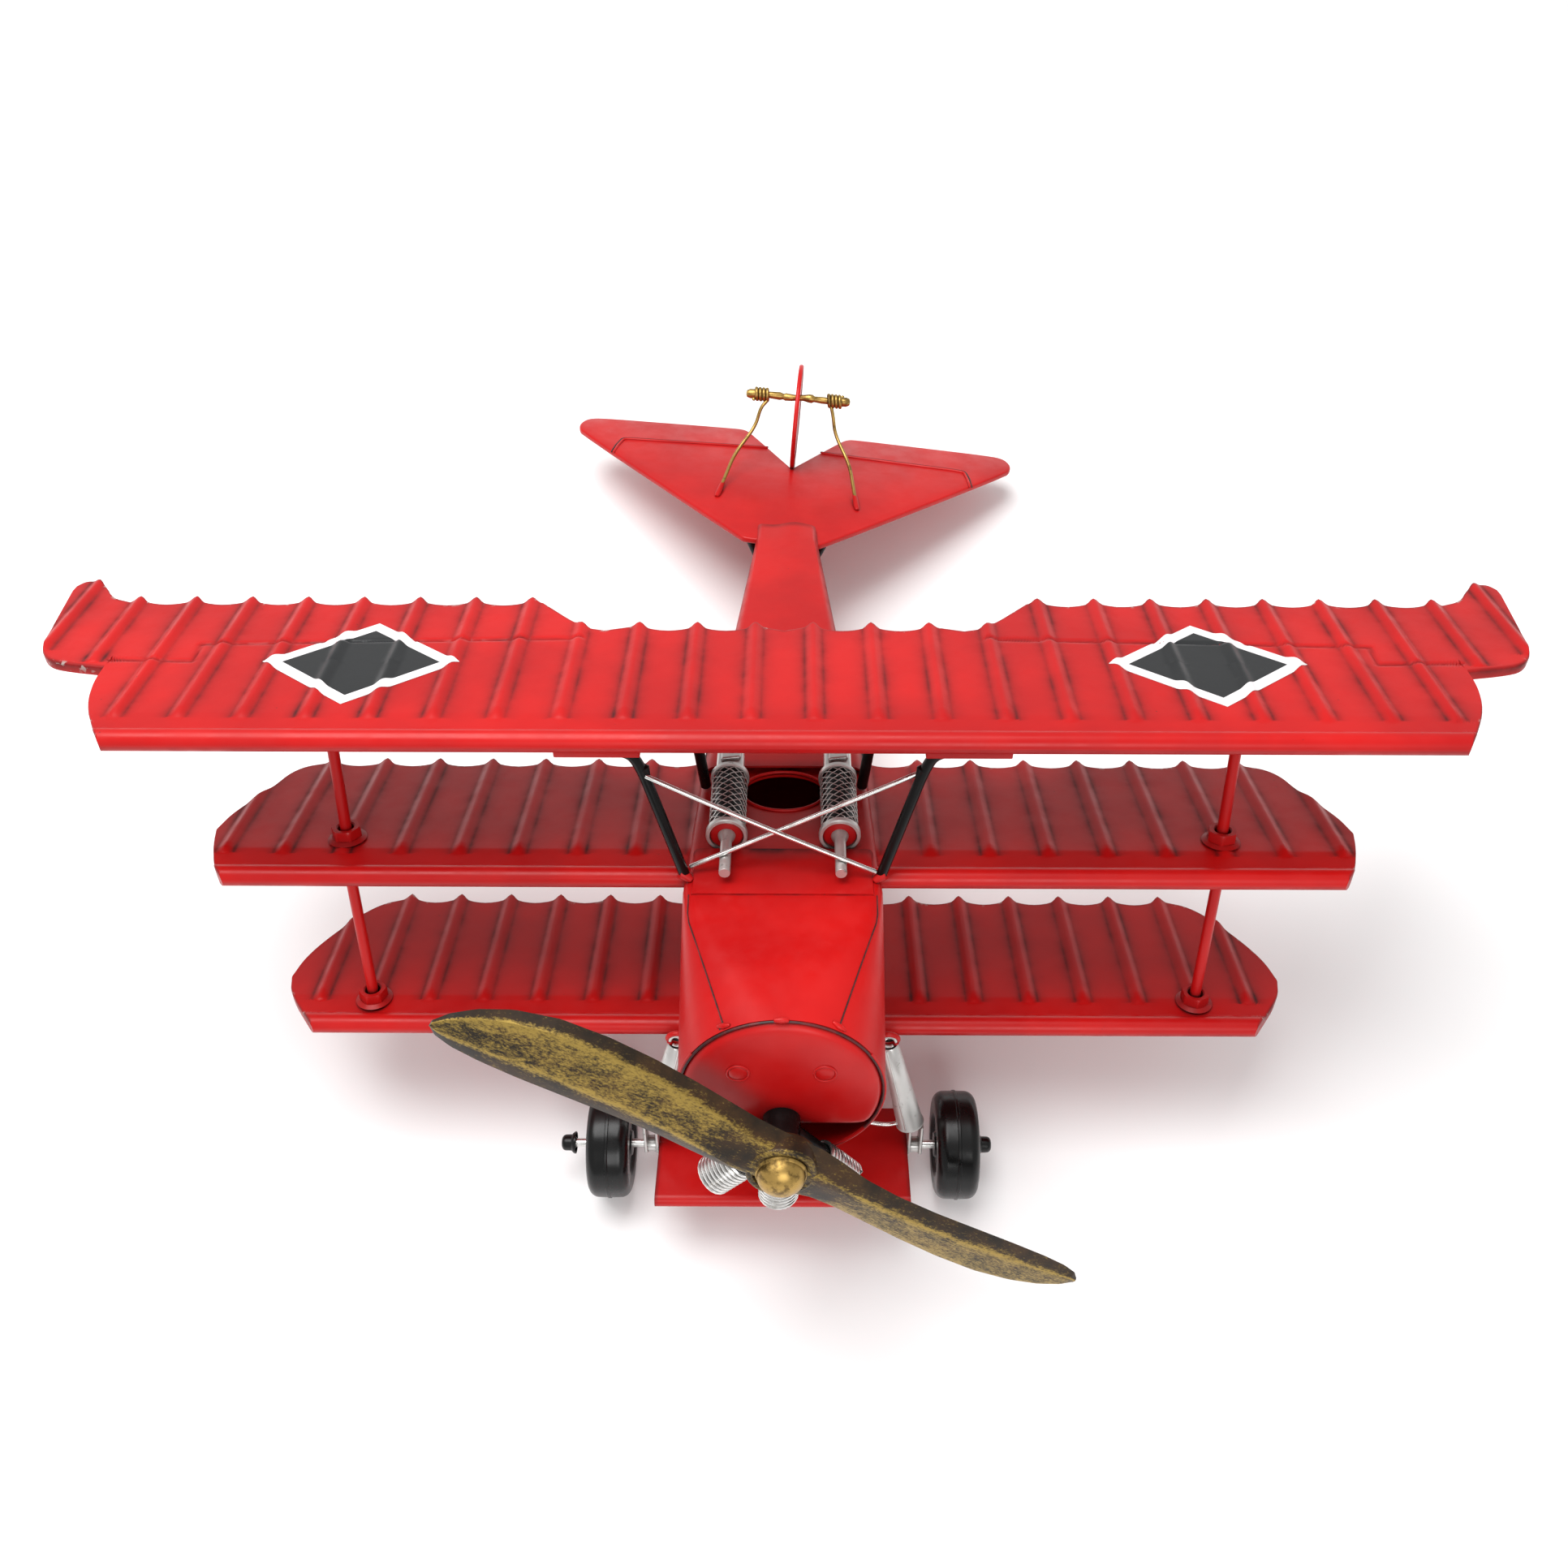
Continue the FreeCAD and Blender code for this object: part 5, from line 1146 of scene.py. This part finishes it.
def add_guns():
    """Diamond-mesh jackets between two rings, over a dark tube, with a barrel and a stepped receiver."""
    z, front, rear, back = GUN_Z, JACKET_FRONT, JACKET_REAR, (0, 1, 0)
    for side in (-1, 1):
        name, x = side_name(side), side * GUN_X
        rings = Shape()
        for at, outer in ((0.0, 5.5), (rear - front - 2.4, 5.3)):
            profile = [(4.5, 0.0), (outer - 0.3, 0.0), (outer, 0.3), (outer, 1.5), (outer - 0.3, 1.8),
                       (4.5, 1.8), (4.5, 0.0)]
            rings.join(lathe(profile, (x, front + at, z), back, 56))
        inner = lathe([(0.0, 0.6), (4.2, 0.6), (4.2, 25.4), (0.0, 25.4)], (x, front, z), back, 40, 0.9)
        piece("gun_mesh_" + name, rings.join(gun_mesh(x)), "silver_paint", ["gun_jacket_" + name])
        piece("gun_core_" + name, inner, "black_enamel")
        disc_profile = [(0.0, 0.0), (3.7, 0.0), (4.4, 0.35), (4.4, 1.2), (0.0, 1.2)]
        disc = lathe(disc_profile, (x, front + 0.35, z), back, 40, 0.2)
        piece("gun_muzzle_disc_" + name, disc, "red_enamel")
        barrel = [(x, y, z) for y in (-15.2, -15.0, -2.6, -1.4, 0.2)]
        piece("gun_pipe_" + name, sweep(barrel, [1.42, 1.5, 1.5, 2.1, 2.5], 24), "silver_paint",
              ["gun_barrel_" + name])
        block_plan = [(x - 3.8, rear - 0.6), (x + 3.8, rear - 0.6), (x + 3.8, 34.2), (x - 3.8, 34.2)]
        piece("gun_block_" + name, slab(block_plan, z - 3.9, z + 2.9), "silver_paint",
              ["gun_receiver_" + name], bevel=1.2)
        cover_plan = [(x - 2.5, rear + 1.9), (x + 2.9, rear + 2.9), (x + 2.9, 34.1), (x - 2.5, 34.1)]
        piece("gun_cover_" + name, slab(cover_plan, z + 2.4, z + 4.2), "silver_paint", bevel=0.6)


# ------------------------------------------------------------------ tail

TAIL_PLANE = -41.4
TAIL_GAUGE = 2.2
RUDDER_Y, RUDDER_Z = 235.6, -26.5
HORN_Y, HORN_Z = 229.3, -15.6


def add_stabiliser():
    """The flat tail with its notch and the pressed line of each elevator."""
    half = [(0.0, 222.4), (17.4, 249.6), (20.6, 253.6), (25.0, 254.0), (52.0, 252.7), (78.0, 251.4),
            (83.8, 250.0), (86.4, 245.8), (86.6, 241.2), (84.4, 236.8), (15.4, 165.2), (12.6, 163.6),
            (0.0, 163.6)]
    half = soften(half, 2)
    outline = half + [(-x, y) for x, y in reversed(half) if x > 0.01]
    plate = slab(outline, TAIL_PLANE - TAIL_GAUGE, TAIL_PLANE)
    piece("stabiliser_plate", plate, "red_enamel", ["stabiliser"], matrix=TAIL, bevel=0.7)
    line_plan = ((10.6, 239.0), (63.6, 235.0), (68.0, 234.2), (69.6, 227.6), (70.2, 221.4))
    ridge_plan = ((10.9, 239.0), (63.6, 235.0), (67.4, 234.2), (68.8, 227.6), (69.4, 222.0))
    for side in (-1, 1):
        name = side_name(side)
        line = [(side * x, y, TAIL_PLANE + 0.02) for x, y in line_plan]
        piece("elevator_line_" + name, sweep(bend(line, 1.6), 0.36, 8, True), "red_enamel",
              materials=SEAM, matrix=TAIL)
        ridge = [(side * x, y - 0.75, TAIL_PLANE + 0.05) for x, y in ridge_plan]
        piece("elevator_ridge_" + name, sweep(bend(ridge, 1.6), 0.50, 10, True), "red_enamel", matrix=TAIL)


def add_rudder():
    """A round plate with a rolled rim and the tongue that goes down between the halves of the tail."""
    profile = [(0.0, -0.55), (18.3, -0.55), (18.9, -0.8), (19.7, -0.8), (20.0, -0.4), (20.0, 0.4),
               (19.7, 0.8), (18.9, 0.8), (18.3, 0.55), (0.0, 0.55)]
    disc = lathe(profile, (0, RUDDER_Y, RUDDER_Z), (1, 0, 0), 96)
    reaches = [math.hypot(v.y - RUDDER_Y, v.z - RUDDER_Z) for v in disc.verts]
    disc.wash = [0.55 if 18.0 < reach < 19.2 else 0.0 for reach in reaches]
    half_gauge = 0.8
    rows = [(226.0, -40.0), (240.0, -42.0), (236.0, -56.0), (226.0, -57.0)]
    verts = [(-half_gauge, y, z) for y, z in rows] + [(half_gauge, y, z) for y, z in rows]
    faces = [[3, 2, 1, 0], [4, 5, 6, 7], [0, 1, 5, 4], [1, 2, 6, 5], [2, 3, 7, 6], [3, 0, 4, 7]]
    disc.join(Shape().add(verts, faces))
    piece("rudder_disc", disc, "red_enamel", ["rudder"], matrix=TAIL, sharp=50)


def add_horn():
    """The stepped control bar, and the wires that wind round its ends and run down to the tail."""
    profile = [(-19.0, 1.5), (-18.4, 1.75), (-16.2, 1.75), (-15.6, 1.3), (-11.0, 1.25), (-7.0, 1.5),
               (-5.6, 1.1), (-4.8, 1.45), (-2.4, 1.3), (-1.2, 1.15), (1.2, 1.15), (2.4, 1.2), (4.2, 1.6),
               (5.4, 1.6), (6.2, 1.1), (9.0, 1.3), (13.0, 1.25), (15.6, 1.3), (16.2, 1.75), (18.4, 1.75),
               (19.0, 1.5)]
    y, z, plane = HORN_Y, HORN_Z, TAIL_PLANE
    route = [(x, y + 0.12 * math.sin(x * 0.7), z + 0.15 * math.sin(x * 0.4)) for x, radius in profile]
    bar = sweep(route, [radius for x, radius in profile], 24, True)
    piece("horn_rod", bar, "brass", ["horn_bar"], matrix=TAIL)
    wire_foot = [(25.2, 199.5, plane + 1.3), (25.9, 194.6, plane + 0.5)]
    for side in (-1, 1):
        coil = helix((side * 11.4, y, z), (side, 0, 0), 2.05, 4.0, 1.36, steps=24)
        fall = [(13.9, y - 3.2, z - 4.0), (15.2, y - 4.4, z - 11.0), (22.0, y - 14.5, z - 18.6)]
        down = bend([coil[0]] + mirrored(fall + wire_foot, side), 5.0, 6)
        piece("horn_wire_run_" + side_name(side), sweep(coil[::-1] + down[1:], 0.66, 12, True), "brass",
              ["horn_wire_" + side_name(side)], matrix=TAIL)
        solder = mirrored([(24.7, 201.5, plane + 1.8)] + wire_foot + [(26.2, 192.8, plane + 0.3)], side)
        piece("horn_wire_foot_" + side_name(side), sweep(solder, [0.72, 0.95, 1.1, 0.8], 14, True),
              "red_enamel", matrix=TAIL)


# ------------------------------------------------------------------ undercarriage

STRUT_TOP = Vector((29.2, -22.6, -94.6))
STRUT_FOOT = Vector((36.4, -23.6, -126.6))
BRACKET_X = 38.2
WHEEL_X, WHEEL_HALF = 50.0, 6.0
CAP_X = {-1: 60.4, 1: 56.4}


def add_leg(side):
    """One rolled front strut with the eye on its top, and the thin rod behind it."""
    name = side_name(side)
    mirror = Matrix.Scale(side, 4, (1, 0, 0))
    along = (STRUT_FOOT - STRUT_TOP).normalized()
    length = (STRUT_FOOT - STRUT_TOP).length
    profile = [(1.9, 0.0), (2.25, -0.15), (2.5, 0.15), (3.05, length * 0.42), (3.85, length - 0.3),
               (4.15, length), (3.95, length + 0.3), (3.45, length), (3.2, length - 0.6),
               (2.5, length * 0.4), (1.9, 0.0)]
    roll = lathe(profile, STRUT_TOP, along, 44)
    outward = Vector((-0.35, -1.0, 0.0)).normalized()
    seam = [STRUT_TOP + along * t + outward * (2.45 + 1.3 * t / length)
            for t in (0.3, length * 0.5, length - 0.4)]
    roll.join(sweep(seam, 0.28, 8))
    piece("leg_tube_" + name, roll.moved(mirror), "silver_paint", ["front_strut_" + name], sharp=50)
    centre = STRUT_TOP - along * 2.5 + Vector((0.1, -0.6, 0.0))
    eye = [centre + Vector((2.6 * math.cos(a), -0.4 * math.sin(a), 2.6 * math.sin(a)))
           for a in circle(28, 27)]
    piece("leg_eye_" + name, sweep(eye, 0.75, 12, True).moved(mirror), "red_enamel")
    lining = [centre + Vector((1.95 * math.cos(a), -0.75, 1.95 * math.sin(a))) for a in circle(28, 25)]
    piece("leg_eye_lining_" + name, sweep(lining, 0.42, 10, True).moved(mirror), "silver_paint")
    high = Vector((28.4, 3.4, float(LOWER.skin(np.array(3.4))) - 3.2))
    rear = bend([high, (33.2, -8.0, -118.0), (37.2, -18.9, -131.4)], 6.0)
    piece("leg_rod_" + name, sweep(rear, 0.85, 14, True).moved(mirror), "bright_steel",
          ["rear_strut_" + name])


def add_axle_end(side):
    """The folded bracket that carries the axle, and the cap pushed on the axle's end."""
    name = side_name(side)
    y, z, round_end, half_gauge = AXLE.y, AXLE.z, 2.9, 0.45
    outline = [(y - 2.6, STRUT_FOOT.z - 0.6), (y + 2.6, STRUT_FOOT.z - 0.6), (y + round_end, z)]
    outline += [(y + round_end * math.cos(a), z - round_end * math.sin(a))
                for a in (math.pi * k / 14 for k in range(1, 14))]
    outline.append((y - round_end, z))
    count = len(outline)
    faces = [list(range(count)), [count + k for k in range(count)][::-1]]
    faces += [[k, count + k, count + (k + 1) % count, (k + 1) % count] for k in range(count)]
    strap = Shape()
    for across in (-1.7, 1.7):
        middle = BRACKET_X + across
        faces_x = (middle - half_gauge, middle + half_gauge)
        strap.add([(x, py, pz) for x in faces_x for py, pz in outline], faces)
    sleeve = [(1.3, 0.0), (2.3, 0.0), (2.3, 3.4), (1.3, 3.4), (1.3, 0.0)]
    strap.join(lathe(sleeve, (BRACKET_X - 1.7, y, z), (1, 0, 0), 32))
    piece("axle_strap_" + name, strap.moved(Matrix.Scale(side, 4, (1, 0, 0))), "silver_paint",
          ["axle_bracket_" + name], bevel=0.2)
    profile = [(0.0, 0.2), (1.5, 0.2), (1.5, 0.5), (2.5, 0.65), (3.15, 0.15), (3.2, 0.5), (2.75, 1.1),
               (2.35, 1.45), (2.3, 3.0)] + arc((1.0, 3.0), 1.3, 0, 90, 6) + [(0.0, 4.45)]
    cap = lathe(profile, (side * CAP_X[side], y, z), (side, 0, 0), 40)
    piece("push_cap_" + name, cap, "black_tyre", ["hub_cap_" + name], sharp=45)


def add_wheels():
    """Moulded wheels: rounded shoulders, a raised parting ridge and a stepped boss."""
    half = WHEEL_HALF
    boss = [(1.31, 0.0), (3.4, 0.0), (3.6, 0.4), (4.2, 1.0), (8.4, 0.9), (9.0, 0.2), (9.4, 0.0), (12.0, 0.0)]
    ridge = [(15.35, -0.75), (15.38, -0.5), (15.6, -0.32), (15.6, 0.32), (15.38, 0.5), (15.35, 0.75)]
    profile = [(radius, -half + inset) for radius, inset in boss] + arc((12.4, -half + 2.9), 2.9, -90, 0, 9)
    profile += ridge + arc((12.4, half - 2.9), 2.9, 0, 90, 9)
    profile += [(radius, half - inset) for radius, inset in reversed(boss)] + [(1.31, -half)]
    for side in (-1, 1):
        name = side_name(side)
        wheel = lathe(profile, (side * WHEEL_X, AXLE.y, AXLE.z), (1, 0, 0), 96)
        piece("tyre_" + name, wheel, "black_tyre", ["wheel_" + name], name + "_wheel", sharp=40)


def add_spreader():
    """The wire between the feet of the front struts."""
    route = [(-33.2, -1.2, -126.0), (-30.0, -1.4, -127.0), (-24.0, -1.0, -126.2), (0.0, -0.6, -126.0),
             (24.0, -1.0, -126.2), (30.0, -1.4, -127.0), (33.2, -1.2, -126.0)]
    wire = bend([(x, AXLE.y + ahead, z) for x, ahead, z in route], 3.0)
    piece("spreader_run", sweep(wire, WIRE_RADIUS, 12, True), "bright_steel", ["spreader_wire"])


def add_axle_wing():
    """The small wing round the axle: a folded sheet with a round nose."""
    half, front, rear, columns = 36.0, -44.5, -11.5, 61
    z, nose, edge = AXLE.z, 2.1, 1.5
    section = [(rear, z + edge), (AXLE.y + 3.0, z + 1.95), (-33.0, z + 2.1)]
    section += [(front + nose - nose * math.sin(a), z + nose * math.cos(a))
                for a in (math.pi * k / 16 for k in range(17))]
    section += [(-33.0, z - 2.1), (AXLE.y + 3.0, z - 1.95), (rear, z - edge)]
    verts, wash, rub = [], [], []
    for j in range(columns):
        x = -half + 2 * half * j / (columns - 1)
        ends = math.exp(-((half - abs(x)) / 0.7) ** 2)
        for y, height in section:
            verts.append((x, y, height))
            wash.append(max(0.8 * ends, 0.5 * math.exp(-((y - rear) / 0.8) ** 2)))
            rub.append(0.8 * ends)
    count = len(section)
    faces = grid_faces(columns, count, wrap_columns=True)
    faces += [list(range(count)), [(columns - 1) * count + k for k in range(count)][::-1]]
    piece("axle_wing", Shape().add(verts, faces, wash, rub), "red_enamel", ["axle_fairing"], sharp=40)


# ------------------------------------------------------------------ carried-over nodes

def dress_nodes():
    """The CAD pieces whose own shape stays."""
    plan = {"firewall": BLACK, "crankcase": BLACK, "propeller_shaft": STEEL, "shaft_collar": STEEL,
            "axle": STEEL, "tail_brace_left": BLACK, "tail_brace_right": BLACK, "tail_skid": RED}
    for name, material in plan.items():
        node = frame["nodes"][name]
        node.data.materials.clear()
        node.data.materials.append(material)


# ------------------------------------------------------------------ stage

SKY_STRENGTH = 0.60


def add_stage():
    """A white floor, an even sky and two soft lights."""
    bpy.ops.mesh.primitive_plane_add(size=6.0, location=(0, 0, 0))
    floor = bpy.context.object
    floor.name = "floor"
    white = Nodes("floor_white")
    white.set(Base_Color=(0.90, 0.90, 0.90), Roughness=0.8, Specular_IOR_Level=0.1)
    floor.data.materials.append(white.material)
    world = bpy.data.worlds.new("studio")
    bpy.context.scene.world = world
    world.use_nodes = True
    world.node_tree.nodes["Background"].inputs["Color"].default_value = (1.0, 1.0, 1.0, 1.0)
    world.node_tree.nodes["Background"].inputs["Strength"].default_value = SKY_STRENGTH
    softbox("key", (-0.25, 0.15, 1.05), (0.0, 0.0, 0.05), 0.75, 12.0)
    softbox("front", (0.15, -1.05, 0.75), (0.0, -0.05, 0.05), 0.55, 4.5)


def softbox(name, place, target, width, power):
    """A square area light aimed at a point."""
    data = bpy.data.lights.new(name, "AREA")
    data.shape = "SQUARE"
    data.size = width
    data.energy = power
    lamp = bpy.data.objects.new(name, data)
    lamp.location = place
    lamp.rotation_euler = (Vector(target) - Vector(place)).to_track_quat("-Z", "Y").to_euler()
    bpy.context.scene.collection.objects.link(lamp)


CAMERA_PLACE = (0.00225, -0.25845, 0.41520)
CAMERA_TURN = (math.radians(32.61), 0.003, 0.006)
CAMERA_LENS, CAMERA_SENSOR = 31.92, 36.0


def add_camera():
    """Above the nose, looking steeply down."""
    data = bpy.data.cameras.new("camera")
    data.sensor_width = CAMERA_SENSOR
    data.lens = CAMERA_LENS
    data.clip_start = 0.01
    camera = bpy.data.objects.new("camera", data)
    camera.location = CAMERA_PLACE
    camera.rotation_euler = CAMERA_TURN
    bpy.context.scene.collection.objects.link(camera)
    bpy.context.scene.camera = camera


bpy.context.scene.view_settings.view_transform = "Standard"
add_camera()
add_wings()
add_marks()
add_cowl()
add_nose_plate()
add_nose_deck()
add_fuselage()
add_rear_deck()
add_engine()
add_propeller()
add_struts()
add_cabane()
add_guns()
add_stabiliser()
add_rudder()
add_horn()
for side in (-1, 1):
    add_leg(side)
    add_axle_end(side)
add_wheels()
add_spreader()
add_axle_wing()
dress_nodes()
add_stage()
